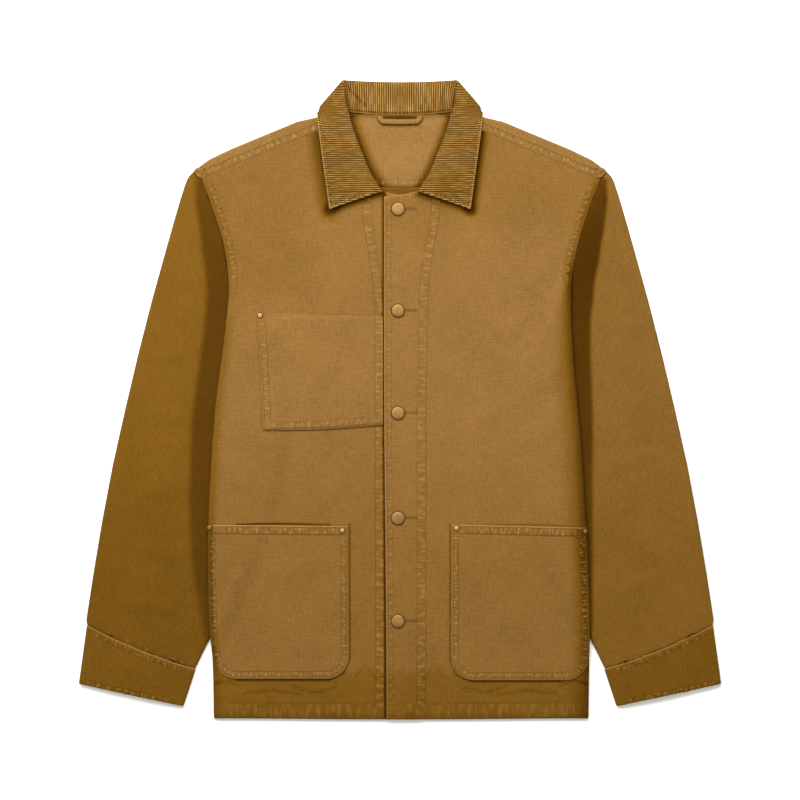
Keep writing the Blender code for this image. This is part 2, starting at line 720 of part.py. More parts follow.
def turned(name, profile, place, normal, look, sides):
    """A turned metal piece from its profile of radii and heights, set on the cloth."""
    mesh = bpy.data.meshes.new(name)
    line = bmesh.new()
    corners = [line.verts.new((radius * MM, 0.0, height * MM)) for radius, height in profile]
    for a, b in zip(corners, corners[1:]):
        line.edges.new((a, b))
    bmesh.ops.spin(
        line,
        geom=line.verts[:] + line.edges[:],
        axis=(0, 0, 1),
        cent=(0, 0, 0),
        angle=2 * math.pi,
        steps=sides,
        use_merge=True,
    )
    bmesh.ops.remove_doubles(line, verts=line.verts[:], dist=0.00001)
    bmesh.ops.recalc_face_normals(line, faces=line.faces[:])
    line.to_mesh(mesh)
    line.free()
    made = add_object(name, mesh, look)
    made.location = [value * MM for value in place]
    made.rotation_euler = (0.0, math.atan2(normal[0], normal[2]), 0.0)
    return made


def button_profile():
    dome = []
    for step in range(1, 5):
        angle = math.pi / 2 * step / 4
        dome.append((0.9 * BUTTON_RADIUS * math.cos(angle), 1.3 + (BUTTON_HEIGHT - 1.3) * math.sin(angle)))
    return [(0.0, 0.0), (0.8 * BUTTON_RADIUS, 0.0), (BUTTON_RADIUS, 0.7), (0.96 * BUTTON_RADIUS, 1.3), *dome]


def rivet_profile():
    r, h = RIVET_RADIUS, RIVET_HEIGHT
    return [(0.0, 0.0), (r, 0.0), (0.94 * r, 0.5 * h), (0.62 * r, h), (0.0, h)]


for old in list(bpy.data.objects):
    bpy.data.objects.remove(old, do_unlink=True)
jacket = bpy.data.collections.new("Chore jacket")
bpy.context.scene.collection.children.link(jacket)

canvas = material("Canvas", (0.34, 0.17, 0.045), 0.9)
corduroy = material("Corduroy", (0.27, 0.14, 0.04), 0.95)
brass = material("Antique brass", (0.36, 0.22, 0.08), 0.4, 1.0)

back(canvas)
back_yoke(canvas)
front(1, "front_left", canvas)
front(-1, "front_right", canvas)
for side, which in ((-1, "right"), (1, "left")):
    sleeve(side, f"sleeve_{which}", canvas)
    cuff(side, f"cuff_{which}", canvas)
collar(corduroy)
hanger_loop(canvas)
chest_pocket(canvas)
for pocket in LOWER_POCKETS:
    lower_pocket(*pocket, canvas)
for number, button_y in enumerate(BUTTON_YS, 1):
    base = front_height(-BUTTON_X, button_y, 1) + SEAM_GAP
    turned(f"button_{number}", button_profile(), (BUTTON_X, button_y, base), (0, 0, 1), brass, 14)
for name, side, x, y in RIVETS:
    ends = (x - RIVET_RADIUS, min(x + RIVET_RADIUS, body_side(y, side) + 0.4))
    out = CHEST_OUT if name == "rivet_chest" else PATCH_OUT
    inner, outer = (on_front(side, end, y, out) for end in ends)
    middle = on_front(side, sum(ends) / 2, y, out)
    slope = outer - inner
    normal = np.array([-slope[2] * side, 0.0, slope[0] * side])
    normal /= np.linalg.norm(normal)
    place = middle + normal * (2 * SEAM_GAP)
    turned(name, rivet_profile(), place, normal, brass, 10)
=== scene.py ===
"""A canvas chore jacket with a corduroy collar, buttoned up and laid flat on its back."""

import math

import bmesh
import bpy
import numpy as np
from mathutils import Matrix, Vector
from mathutils.bvhtree import BVHTree


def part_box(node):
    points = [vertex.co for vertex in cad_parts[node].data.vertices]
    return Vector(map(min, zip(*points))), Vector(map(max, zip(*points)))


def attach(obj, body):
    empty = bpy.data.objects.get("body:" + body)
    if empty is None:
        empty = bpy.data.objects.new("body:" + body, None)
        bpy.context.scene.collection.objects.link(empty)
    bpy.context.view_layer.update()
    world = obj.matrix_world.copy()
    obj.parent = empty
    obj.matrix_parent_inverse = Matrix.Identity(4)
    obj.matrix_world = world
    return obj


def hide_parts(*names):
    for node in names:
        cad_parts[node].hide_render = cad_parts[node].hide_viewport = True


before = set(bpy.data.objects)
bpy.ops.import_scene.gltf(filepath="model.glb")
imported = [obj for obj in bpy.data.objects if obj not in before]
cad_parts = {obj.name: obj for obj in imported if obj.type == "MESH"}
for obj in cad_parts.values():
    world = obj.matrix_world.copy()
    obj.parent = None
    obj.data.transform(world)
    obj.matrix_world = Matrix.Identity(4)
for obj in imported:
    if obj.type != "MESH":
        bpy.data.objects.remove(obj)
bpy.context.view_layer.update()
MM = 0.001

# ----------------------------------------
# Back panel. One width of garment-washed cotton duck, plain woven and dyed caramel brown. It lies on
# the floor, runs up over the hidden edges of the sleeves, and is sewn to the yoke along its top.


def smoothstep(value):
    value = np.clip(value, 0, 1)
    return value * value * (3 - 2 * value)


def form_of(name):
    """The faces of a solid, for finding where its cloth lies. Sizes are in millimetres."""
    faces = bmesh.new()
    faces.from_mesh(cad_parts[name].data)
    bmesh.ops.scale(faces, vec=(1000, 1000, 1000), verts=faces.verts)
    tree = BVHTree.FromBMesh(faces)
    faces.free()
    return tree


def height_of(form, plan, below=False):
    """How high a form's upper side, or its lower side, lies at points of the plan."""
    way = 1 if below else -1
    flat = plan.reshape(-1, 2)
    found = np.zeros(len(flat))
    for i, (x, y) in enumerate(flat):
        hit = form.ray_cast(Vector((x, y, -60 * way)), Vector((0, 0, way)))[0]
        if hit is None:
            hit = form.find_nearest(Vector((x, y, 0 if below else 12)))[0]
        found[i] = hit.z
    return found.reshape(plan.shape[:-1])


def trace(form, starts, way, low=0.2, high=13):
    """Where a form's edge is first met from each start, going one way over the plan."""
    way = np.array(way, float)
    edge = []
    for start in np.array(starts, float):
        gone = [
            form.ray_cast(Vector((*start, z)), Vector((*way, 0)))[3]
            for z in np.arange(low, high, 0.35)
        ]
        gone = [value for value in gone if value is not None]
        if gone:
            edge.append(start + min(gone) * way)
    return np.array(edge)


def along_line(line, shares):
    """Points at these shares of the length of a line of points."""
    line = np.array(line, float)
    run = np.concatenate([[0], np.cumsum(np.linalg.norm(np.diff(line, axis=0), axis=1))])
    return np.stack([np.interp(np.array(shares) * run[-1], run, column) for column in line.T], axis=-1)


def spaced(length, fine_start, fine_end, fine, coarse, busy=()):
    """Shares of a length, close together near its ends and busy places, and wider apart elsewhere."""
    density = [1 / fine, 1 / fine, 1 / coarse, 1 / coarse, 1 / fine, 1 / fine]
    stops = [0, fine_start, fine_start * 1.4, length - fine_end * 1.4, length - fine_end, length]
    at = np.linspace(0, length, 2000)
    density = np.interp(at, stops, density)
    for middle in busy:
        density = np.maximum(density, np.exp(-(((at - middle) / 5) ** 2)) / 0.9)
    count = np.cumsum(density) * length / len(at)
    shares = np.linspace(count[0], count[-1], int(count[-1]) + 1)
    return np.interp(shares, count, at) / length


def patch(bottom, top, left, right, across, up):
    """Plan points spread between four edges, at shares across them and up them."""
    b, t = along_line(bottom, across), along_line(top, across)
    l, r = along_line(left, up), along_line(right, up)
    u, v = across[None, :, None], up[:, None, None]
    flat = (1 - v) * b[None] + v * t[None] + (1 - u) * l[:, None] + u * r[:, None]
    ends = (1 - u) * (1 - v) * b[0] + u * (1 - v) * b[-1] + (1 - u) * v * t[0] + u * v * t[-1]
    return flat - ends


def lifted(plan, height):
    """Plan points given their heights."""
    return np.concatenate([plan, height[..., None]], axis=2)


def bell(value, middle, width):
    """1 where a value is at the middle, falling away over this width."""
    return np.exp(-(((value - middle) / width) ** 2))


def eased(values, times):
    """Values on a grid with the corners between a form's faces smoothed out."""
    for _ in range(times):
        wide = np.pad(values, 1, mode="edge")
        sides = wide[:-2, 1:-1] + wide[2:, 1:-1] + wide[1:-1, :-2] + wide[1:-1, 2:]
        values = (sides + 2 * values) / 6
    return values


def beside(plan, line):
    """How far along a line, and how far to its left, each plan point is."""
    best = np.full(plan.shape[:-1], 1e9)
    along, off = np.zeros_like(best), np.zeros_like(best)
    gone = 0
    line = np.array(line, float)
    for a, b in zip(line[:-1], line[1:]):
        run = b - a
        length = np.linalg.norm(run)
        share = np.clip(((plan - a) @ run) / length**2, 0, 1)
        gap = plan - (a + share[..., None] * run)
        away = np.linalg.norm(gap, axis=-1)
        nearer = away < best
        side = np.where(run[0] * gap[..., 1] - run[1] * gap[..., 0] >= 0, 1, -1)
        best = np.where(nearer, away, best)
        along = np.where(nearer, gone + share * length, along)
        off = np.where(nearer, side * away, off)
        gone += length
    return along, off, gone


def creased(plan, table):
    """The height that soft creases add. Each row has two ends, bow, height and width."""
    total = np.zeros(plan.shape[:-1])
    for x0, y0, x1, y1, bow, height, width in table:
        start, run = np.array((x0, y0)), np.array((x1 - x0, y1 - y0))
        length = np.linalg.norm(run)
        share = ((plan - start) @ run) / length**2
        across = (run[0] * (plan[..., 1] - y0) - run[1] * (plan[..., 0] - x0)) / length
        inside = np.clip(share, 0, 1)
        across = (across - bow * 4 * inside * (1 - inside)) / width
        faded = smoothstep(share / 0.35) * smoothstep((1 - share) / 0.35)
        total += height * faded * (np.exp(-(across**2)) - 0.45 * np.exp(-((across - 1.5) ** 2)))
    return total


def puckered(plan, line, near, far, pitch, height, seed):
    """The height of the small uneven swellings that a sewn line draws up in a band beside it."""
    along, off, length = beside(plan, line)
    middle, half = (near + far) / 2, abs(far - near) / 2
    band = np.clip(1 - ((off - middle) / half) ** 2, 0, 1)
    inside = (band > 0) & (along > 0) & (along < length)
    s, d = along[inside], off[inside] - middle
    swell = np.zeros(len(s))
    chance = np.random.default_rng(seed)
    at = 0
    while at < length:
        size, slant = chance.uniform(0.35, 1), chance.uniform(-0.5, 0.5)
        swell += size * np.exp(-(((s - at - slant * d) / (0.36 * pitch)) ** 2))
        at += pitch * chance.uniform(0.6, 1.4)
    total = np.zeros(plan.shape[:-1])
    total[inside] = height * band[inside] * swell
    return total


def sewn_bands(plan, bands):
    """What sewn bands do to a sheet: how they swell it, and each point's place on its nearest band.

    A band has a line, two distances to its left, the pitch and height of its puckers, a seed, and
    how plainly it shows. A place is how many puckers along, how far across, and how plain."""
    swell, nearest = np.zeros(plan.shape[:-1]), np.full(plan.shape[:-1], 1e9)
    place = np.zeros(plan.shape[:-1] + (3,))
    for line, near, far, pitch, height, seed, plain in bands:
        swell += puckered(plan, line, near, far, pitch, height, seed)
        along, off, length = beside(plan, line)
        middle, half = (near + far) / 2, abs(far - near) / 2
        across = np.clip((off - middle) / half, -3, 3)
        nearer = (abs(off - middle) < nearest) & (along > 0) & (along < length)
        nearest = np.where(nearer, abs(off - middle), nearest)
        fading = min(24, 0.14 * length)
        on = plain * (abs(across) < 2) * smoothstep(np.minimum(along, length - along) / fading)
        place[nearer] = np.stack([along / pitch + 17.3 * seed, across, on], axis=-1)[nearer]
    return swell, place


def drifting(rows, columns, row_step, column_step, seed):
    """Slow chance between 0 and 1 over a grid, with these many grid steps between its turns."""
    chance = np.random.default_rng(seed)
    corners = chance.uniform(0, 1, (int(rows / row_step) + 3, int(columns / column_step) + 3))
    v, u = np.arange(rows) / row_step, np.arange(columns) / column_step
    i, j = v.astype(int), u.astype(int)
    a, b = smoothstep(v - i)[:, None], smoothstep(u - j)[None, :]
    low = corners[i][:, j] * (1 - b) + corners[i][:, j + 1] * b
    high = corners[i + 1][:, j] * (1 - b) + corners[i + 1][:, j + 1] * b
    return low * (1 - a) + high * a


def shade_beside(plan, line, reach):
    """From 1 at a line to 0 at this distance on either side of it."""
    _, off, _ = beside(plan, line)
    return smoothstep(1 - abs(off) / reach)


def raised(points, height):
    """A grid of points moved out along its own normals."""
    normal = np.cross(np.gradient(points, axis=1), np.gradient(points, axis=0))
    normal /= np.linalg.norm(normal, axis=2, keepdims=True) + 1e-9
    return points + normal * height[..., None]


def shown(name, mesh, *looks):
    """A mesh made smooth, given its materials and put in the scene."""
    mesh.polygons.foreach_set("use_smooth", np.ones(len(mesh.polygons), bool))
    for look in looks:
        mesh.materials.append(look)
    made = bpy.data.objects.new(name, mesh)
    bpy.context.scene.collection.objects.link(made)
    return made


def tell(made, node=None):
    """Say which solid a piece is seen in place of, that it never moves."""
    if node:
        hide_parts(node)
    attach(made, "root")


def cloth(name, points, look, wall=1, wear_and_painted_shade=None, sewn=None, kept=None, turned_over=False):
    """A sheet with its outer side on a grid of points in millimetres, and its wall inwards.

    wear_and_painted_shade is how far it is rubbed pale, or darkened by painted shade if negative, and
    sewn its place on a sewn band."""
    rows, columns = points.shape[:2]
    wear_and_painted_shade = np.zeros((rows, columns)) if wear_and_painted_shade is None else np.clip(wear_and_painted_shade, -1, 1)
    sewn = np.zeros((rows, columns, 3)) if sewn is None else sewn
    if turned_over:
        points, wear_and_painted_shade, sewn = points[:, ::-1], wear_and_painted_shade[:, ::-1], sewn[:, ::-1]
    sheet = bmesh.new()
    sheet.loops.layers.uv.new("Cloth")
    bmesh.ops.create_grid(sheet, x_segments=columns - 1, y_segments=rows - 1, size=0.5, calc_uvs=True)
    mesh = bpy.data.meshes.new(name)
    sheet.to_mesh(mesh)
    sheet.free()
    mesh.vertices.foreach_set("co", (points * MM).ravel())
    run = np.linalg.norm(np.diff(points, axis=1), axis=2).cumsum(axis=1) * MM
    run = np.concatenate([np.zeros((rows, 1)), run], axis=1)
    rise = np.linalg.norm(np.diff(points, axis=0), axis=2).cumsum(axis=0) * MM
    rise = np.concatenate([np.zeros((1, columns)), rise], axis=0)
    run -= run[:, columns // 2 : columns // 2 + 1]
    corner = np.zeros(len(mesh.loops), np.int32)
    mesh.loops.foreach_get("vertex_index", corner)
    place = np.stack([run.ravel()[corner], rise.ravel()[corner]], axis=1)
    mesh.uv_layers[0].data.foreach_set("uv", place.ravel())
    mesh.attributes.new("wear_and_painted_shade", "FLOAT", "POINT").data.foreach_set("value", wear_and_painted_shade.ravel())
    mesh.attributes.new("sewn", "FLOAT_VECTOR", "POINT").data.foreach_set("vector", sewn.ravel())
    if kept is not None:
        sheet = bmesh.new()
        sheet.from_mesh(mesh)
        gone = [vert for vert, keep in zip(sheet.verts, kept.ravel()) if not keep]
        bmesh.ops.delete(sheet, geom=gone, context="VERTS")
        sheet.to_mesh(mesh)
        sheet.free()
    made = shown(name, mesh, look)
    thicken = made.modifiers.new("Wall", "SOLIDIFY")
    thicken.thickness = wall * MM
    thicken.offset = -1
    # the wall is made real, so that none of it passes below the plane the cloth lies on
    walled = bpy.data.meshes.new_from_object(made.evaluated_get(bpy.context.evaluated_depsgraph_get()))
    made.modifiers.clear()
    made.data = walled
    corners = np.zeros(len(walled.vertices) * 3)
    walled.vertices.foreach_get("co", corners)
    corners[2::3] = np.maximum(corners[2::3], 0)
    walled.vertices.foreach_set("co", corners)
    walled.update()
    return made


def maths(nodes, links, operation, *values):
    """A maths node with these numbers or outputs as its inputs."""
    step = nodes.new("ShaderNodeMath")
    step.operation = operation
    for socket, value in zip(step.inputs, values):
        if isinstance(value, (int, float)):
            socket.default_value = value
        else:
            links.new(value, socket)
    return step.outputs[0]


def noise_on(nodes, links, vector, scale, detail=2, roughness=0.5, size=(1, 1, 1)):
    """A noise stretched over a vector."""
    turn = nodes.new("ShaderNodeMapping")
    turn.inputs["Scale"].default_value = size
    noise = nodes.new("ShaderNodeTexNoise")
    for title, level in (("Scale", scale), ("Detail", detail), ("Roughness", roughness)):
        noise.inputs[title].default_value = level
    links.new(vector, turn.inputs["Vector"])
    links.new(turn.outputs["Vector"], noise.inputs["Vector"])
    return noise.outputs["Fac"]


def ramp(nodes, links, value, *stops):
    """The colours that a value passes through, as places and colours."""
    shades = nodes.new("ShaderNodeValToRGB")
    elements = shades.color_ramp.elements
    for element, (place, colour) in ((elements[0], stops[0]), (elements[1], stops[-1])):
        element.position, element.color = place, (*colour, 1)
    for place, colour in stops[1:-1]:
        elements.new(place).color = (*colour, 1)
    links.new(value, shades.inputs["Fac"])
    return shades.outputs["Color"]


def bumped(nodes, links, height, strength, distance, normal=None):
    """A normal with the relief of a height on it, over another relief if one is given."""
    bump = nodes.new("ShaderNodeBump")
    bump.inputs["Strength"].default_value = strength
    bump.inputs["Distance"].default_value = distance
    links.new(height, bump.inputs["Height"])
    if normal:
        links.new(normal, bump.inputs["Normal"])
    return bump.outputs["Normal"]


def placed(nodes, links, group, place):
    """A shader group at work in a material, at this place."""
    node = nodes.new("ShaderNodeGroup")
    node.node_tree = group
    links.new(place, node.inputs["Place"])
    return node


def carried(nodes, name):
    """What a sheet's mesh carries under this name."""
    attribute = nodes.new("ShaderNodeAttribute")
    attribute.attribute_name = name
    return attribute


def new_look(name, **levels):
    """A material with these levels on its shader, then its nodes, links and shader's inputs."""
    made = bpy.data.materials.new(name)
    made.use_nodes = True
    inputs = made.node_tree.nodes["Principled BSDF"].inputs
    for title, level in levels.items():
        inputs[title.replace("_", " ")].default_value = level
    return made, made.node_tree.nodes, made.node_tree.links, inputs


def graded(nodes, links, value, low, high, start=0, end=1):
    """A smooth step of a value from one level to another."""
    grade = nodes.new("ShaderNodeMapRange")
    grade.interpolation_type = "SMOOTHSTEP"
    for socket, level in zip(("From Min", "From Max", "To Min", "To Max"), (low, high, start, end)):
        grade.inputs[socket].default_value = level
    links.new(value, grade.inputs["Value"])
    return grade.outputs["Result"]


def new_group(name):
    """A group that takes a place and gives a shade and a relief, with its nodes, links and ends."""
    group = bpy.data.node_groups.new(name, "ShaderNodeTree")
    group.interface.new_socket("Place", in_out="INPUT", socket_type="NodeSocketVector")
    for title in ("Shade", "Relief"):
        group.interface.new_socket(title, in_out="OUTPUT", socket_type="NodeSocketFloat")
    nodes = group.nodes
    return group, nodes, group.links, nodes.new("NodeGroupInput"), nodes.new("NodeGroupOutput")


def plain_weave():
    """Yarns over and under one another, with slubs. It gives a shade and a relief."""
    group, nodes, links, start, end = new_group("Plain weave")
    place = start.outputs["Place"]
    warp = noise_on(nodes, links, place, 560, 2, 0.6, (1, 0.13, 1))
    weft = noise_on(nodes, links, place, 520, 2, 0.6, (0.13, 1, 1))
    speckle = noise_on(nodes, links, place, 620, 3, 0.8)
    yarns = maths(nodes, links, "ADD", warp, weft)
    speckle = maths(nodes, links, "MULTIPLY", speckle, 1.05)
    shade = maths(nodes, links, "MULTIPLY_ADD", yarns, 0.36, speckle)
    links.new(maths(nodes, links, "SUBTRACT", shade, 0.385), end.inputs["Shade"])
    waves = []
    for axis in ("X", "Y"):
        wave = nodes.new("ShaderNodeTexWave")
        wave.bands_direction = axis
        wave.inputs["Scale"].default_value = 560
        wave.inputs["Distortion"].default_value = 0.6
        wave.inputs["Detail"].default_value = 1
        links.new(place, wave.inputs["Vector"])
        waves.append(wave.outputs["Fac"])
    links.new(maths(nodes, links, "MULTIPLY_ADD", waves[0], waves[1], yarns), end.inputs["Relief"])
    return group


def sewn_band():
    """A band between two rows of stitches: puckers across it, paler where rubbed and darker between
    them in painted shade, and a groove along each row, darkened in painted shade.
    """
    group, nodes, links, start, end = new_group("Sewn band")
    parts = nodes.new("ShaderNodeSeparateXYZ")
    links.new(start.outputs["Place"], parts.inputs["Vector"])
    along, across, on = parts.outputs
    far = maths(nodes, links, "ABSOLUTE", across)
    band = maths(nodes, links, "MULTIPLY", graded(nodes, links, far, 1, 0.78), on)
    ridges = noise_on(nodes, links, start.outputs["Place"], 1.75, 1.5, 0.55, (1, 0.16, 0))
    ridges = graded(nodes, links, ridges, 0.44, 0.66, -0.28, 1)
    ridges = maths(nodes, links, "MULTIPLY", ridges, band)
    gap = maths(nodes, links, "ABSOLUTE", maths(nodes, links, "SUBTRACT", far, 1.02))
    groove = maths(nodes, links, "MULTIPLY", graded(nodes, links, gap, 0.2, 0.04), on)
    beat = maths(nodes, links, "SINE", maths(nodes, links, "MULTIPLY", along, 15))
    beat = maths(nodes, links, "MULTIPLY_ADD", beat, 0.25, 0.5)
    groove = maths(nodes, links, "MULTIPLY", groove, beat)
    for title in ("Shade", "Relief"):
        links.new(maths(nodes, links, "SUBTRACT", ridges, groove), end.inputs[title])
    return group


SOFT_SHEEN = (0.9, 0.6, 0.25, 1)


def duck(name, body, crest, shade, deep_shade, weave, seams):
    """Washed cotton duck: paler where seams and puckers are rubbed, and darkened by painted shade, then
    deep painted shade, where its value falls below zero.
    """
    made, nodes, links, inputs = new_look(
        name, Roughness=0.9, Specular_IOR_Level=0.025,
        Sheen_Weight=0.015, Sheen_Roughness=0.5, Sheen_Tint=SOFT_SHEEN,
    )
    place = nodes.new("ShaderNodeUVMap")
    place.uv_map = "Cloth"
    threads = placed(nodes, links, weave, place.outputs["UV"])
    where = nodes.new("ShaderNodeTexCoord")
    blend = nodes.new("ShaderNodeMix")
    blend.inputs["Factor"].default_value = 0.2
    links.new(threads.outputs["Shade"], blend.inputs["A"])
    links.new(noise_on(nodes, links, where.outputs["Object"], 16, 4, 0.6), blend.inputs["B"])
    shades = graded(nodes, links, blend.outputs["Result"], 0.2, 0.8, 0.66, 1.34)
    bands = placed(nodes, links, seams, carried(nodes, "sewn").outputs["Vector"])
    wear_and_painted_shade = carried(nodes, "wear_and_painted_shade").outputs["Fac"]
    wear_and_shade_level = maths(nodes, links, "MULTIPLY_ADD", bands.outputs["Shade"], 0.8, wear_and_painted_shade)
    colour = None
    # above zero the colour goes towards the rubbed one; below zero towards painted shade, then deep
    # painted shade
    for tint, least, most in ((crest, 0, 1), (shade, 0, -0.5), (deep_shade, -0.5, -1)):
        amount = nodes.new("ShaderNodeMapRange")
        amount.inputs["From Min"].default_value = least
        amount.inputs["From Max"].default_value = most
        links.new(wear_and_shade_level, amount.inputs["Value"])
        mix = nodes.new("ShaderNodeMix")
        mix.data_type = "RGBA"
        mix.inputs["A"].default_value, mix.inputs["B"].default_value = (*body, 1), (*tint, 1)
        links.new(amount.outputs["Result"], mix.inputs["Factor"])
        if colour:
            links.new(colour, mix.inputs["A"])
        colour = mix.outputs["Result"]
    woven = nodes.new("ShaderNodeVectorMath")
    woven.operation = "SCALE"
    links.new(colour, woven.inputs[0])
    links.new(shades, woven.inputs["Scale"])
    links.new(woven.outputs["Vector"], inputs["Base Color"])
    relief = bumped(nodes, links, bands.outputs["Relief"], 0.8, 0.0007)
    links.new(bumped(nodes, links, threads.outputs["Relief"], 0.4, 0.0003, relief), inputs["Normal"])
    return made


seams = sewn_band()
# the canvas's own colour and its rubbed colour, then the colours of painted shade and deep painted
# shade
BODY, RUBBED = (0.188, 0.0965, 0.0255), (0.29, 0.165, 0.057)
IN_SHADE, IN_DEEP_SHADE = (0.128, 0.0588, 0.0052), (0.043, 0.0155, 0.0004)
canvas = duck("Canvas", BODY, RUBBED, IN_SHADE, IN_DEEP_SHADE, plain_weave(), seams)

BACK_TOP, BACK_HEM = 261.8, -385.5
# each crease has its two ends, its bow, its height and its width
BACK_CREASES = (
    (-150, 210, 40, 120, 8, 0.7, 9),
    (160, 150, 60, -60, -10, 0.6, 8),
    (-170, 20, -40, -110, 12, 0.8, 10),
    (-30, -150, 120, -230, 9, 0.6, 8),
    (-160, -300, -20, -260, -7, 0.7, 9),
    (40, 60, 150, 20, 6, 0.5, 7),
)
back_form = form_of("back")
up = spaced(647, 12, 12, 3.2, 4.8)
ys = BACK_HEM + 0.3 + np.linspace(0, 1, 120) * (BACK_TOP - BACK_HEM - 0.6)
back_left = trace(back_form, [(-400, y) for y in ys], (1, 0))
back_right = trace(back_form, [(400, y) for y in ys], (-1, 0))
across = spaced(470, 12, 12, 3.2, 4.8)
plan = patch(
    (back_left[0], back_right[0]), (back_left[-1], back_right[-1]), back_left, back_right, across, up
)
plan[-1, :, 1] += 1.8
under = eased(height_of(back_form, plan, below=True), 3)
swell, sewn = sewn_bands(plan, ((((-260, BACK_HEM), (260, BACK_HEM)), 0.5, 19, 12, 0.5, 11, 0.28),))
under += np.abs(creased(plan, BACK_CREASES)) + swell
points = lifted(plan, np.maximum(under, 0))
# painted shade on the back's top middle, where it is seen inside the neck, and the whole back a little
# darker
wear_and_painted_shade = -0.42 * smoothstep((plan[..., 1] - 225) / 24) * smoothstep((90 - abs(plan[..., 0])) / 30) - 0.15
back = cloth("Back", points, canvas, wear_and_painted_shade=wear_and_painted_shade, sewn=sewn, turned_over=True)
tell(back, "back")

# ----------------------------------------
# Back yoke. A shaped piece of the same duck, cut across the shoulders. It is sewn to the back, folds
# over the shoulders and comes down to the fronts in a seam with two rows of stitches.
STACK = 6.2
SHOULDER_SEAM = ((82, 338.4), (256, 266.4))
YOKE_TIP = 252.7
NECK_CORNER = 84.6
INNER_ROLL = ((22, 255), (37, 280), (48, 305), (58, 330), (63.5, 352))


def stitched(name, lines, bed, look, pitch=3.1, width=0.62, inset=0):
    """A row of lockstitches along each line, lying in the cloth. Lines are plan points."""
    one = bmesh.new()
    bmesh.ops.create_uvsphere(one, u_segments=6, v_segments=4, radius=1)
    shape = bpy.data.meshes.new("One stitch")
    one.to_mesh(shape)
    one.free()
    corners = np.array([vert.co for vert in shape.vertices])
    loops = [list(face.vertices) for face in shape.polygons]
    bpy.data.meshes.remove(shape)
    chance = np.random.default_rng(len(lines) * 7 + 3)
    points, faces = [], []
    for line in lines:
        line = np.array(line, float)
        length = np.sum(np.linalg.norm(np.diff(line, axis=0), axis=1))
        count = max(int(length / pitch), 1)
        for k in range(count):
            middle = (k + 0.5 + chance.uniform(-0.06, 0.06)) / count
            half = 0.37 * pitch / length
            a, b = along_line(line, (middle - half, middle + half))
            ends = []
            for x, y in (a, b):
                hit = bed.ray_cast(Vector((x, y, 60)), Vector((0, 0, -1)))[0]
                if hit is None:
                    break
                ends.append((x, y, hit.z))
            if len(ends) < 2 or abs(ends[0][2] - ends[1][2]) > 1.5:
                continue
            a, b = np.array(ends)
            run = (b - a) / np.linalg.norm(b - a)
            out = np.array((0, 0, 1)) - run[2] * run
            out /= np.linalg.norm(out)
            side = np.cross(out, run)
            size = width * chance.uniform(0.85, 1.1) / 2
            basis = np.stack([side * size, out * size, run * np.linalg.norm(b - a) / 2])
            start = len(points) * len(corners)
            points.append(corners @ basis + (a + b) / 2 + out * (0.32 * size - inset))
            faces += [[start + i for i in loop] for loop in loops]
    mesh = bpy.data.meshes.new(name)
    mesh.from_pydata(np.concatenate(points) * MM, [], faces)
    made = shown(name, mesh, look)
    tell(made)
    return made


def bed_of(*sheets):
    """The outer faces of finished sheets, for laying stitches on."""
    faces = bmesh.new()
    for sheet in sheets:
        faces.from_mesh(sheet.data)
    bmesh.ops.scale(faces, vec=(1000, 1000, 1000), verts=faces.verts)
    tree = BVHTree.FromBMesh(faces)
    faces.free()
    return tree


def offset_line(line, away):
    """A plan line moved to its left by this much."""
    line = np.array(line, float)
    run = np.gradient(line, axis=0)
    run /= np.linalg.norm(run, axis=1, keepdims=True)
    return line + away * np.stack([-run[:, 1], run[:, 0]], axis=1)


def thread_look(name, colour):
    """Dyed thread, a little uneven in its shade."""
    made, nodes, links, inputs = new_look(name, Roughness=0.75, Specular_IOR_Level=0.08)
    where = nodes.new("ShaderNodeTexCoord")
    noise = noise_on(nodes, links, where.outputs["Object"], 260)
    dark, bright = ([value * share for value in colour] for share in (0.75, 1.2))
    links.new(ramp(nodes, links, noise, (0.3, dark), (0.7, bright)), inputs["Base Color"])
    return made


thread = thread_look("Brown thread", (0.16, 0.078, 0.015))

yoke_form = form_of("back_yoke")
half = np.concatenate([
    np.linspace(0, NECK_CORNER - 0.8, 26), np.linspace(NECK_CORNER, YOKE_TIP - 9, 48),
    np.linspace(YOKE_TIP - 9, YOKE_TIP, 7)[1:],
])
xs = np.concatenate([-half[:0:-1], half])
ridge = trace(yoke_form, [(np.clip(x, 1 - YOKE_TIP, YOKE_TIP - 1), 420) for x in xs], (0, -1), 2.1, 6)
in_neck = abs(xs) < NECK_CORNER - 0.1
base = height_of(yoke_form, np.stack([xs, np.minimum(ridge[:, 1] - 4, 340)], axis=1), below=True)
base = np.clip(base, 0, 2)
radius = (STACK - base) / 2
top = ridge[:, 1] - np.where(in_neck, 0, radius)
seam_y = np.interp(abs(xs), *np.array(SHOULDER_SEAM).T) + 0.1
rows = []
for share in np.concatenate([np.linspace(0, 0.9, 24), np.linspace(0.93, 1, 6)]):
    y = BACK_TOP - 0.4 + share * (top - BACK_TOP + 0.4)
    low = height_of(yoke_form, np.stack([xs, y], axis=1), below=True)
    rows.append(np.stack([xs, y, low], axis=1))
base_rows = len(rows)
for turn in np.linspace(0, math.pi, 11)[1:]:
    rows.append(np.stack([xs, top + radius * np.sin(turn), base + radius * (1 - np.cos(turn))], axis=1))
for share in np.linspace(0, 1, 16)[1:]:
    y = top + share * (seam_y - top)
    # its ends slant in towards the fronts, along the armholes
    slant = np.sign(xs) * 9 * share * smoothstep((abs(xs) - 196) / 56)
    rows.append(np.stack([xs - slant, y + abs(slant) * 0.41 * share, np.full(len(xs), STACK)], axis=1))
points = np.array(rows)
points[:base_rows, :, 2] = np.maximum(eased(points[:base_rows, :, 2], 3), 0)
inner, outer = points[:base_rows, :, :2], points[base_rows:, :, :2]
_, inner_sewn = sewn_bands(inner, ((((-256, BACK_TOP), (256, BACK_TOP)), 2.2, 8.6, 6.5, 0, 33, 0.55),))
bands = []
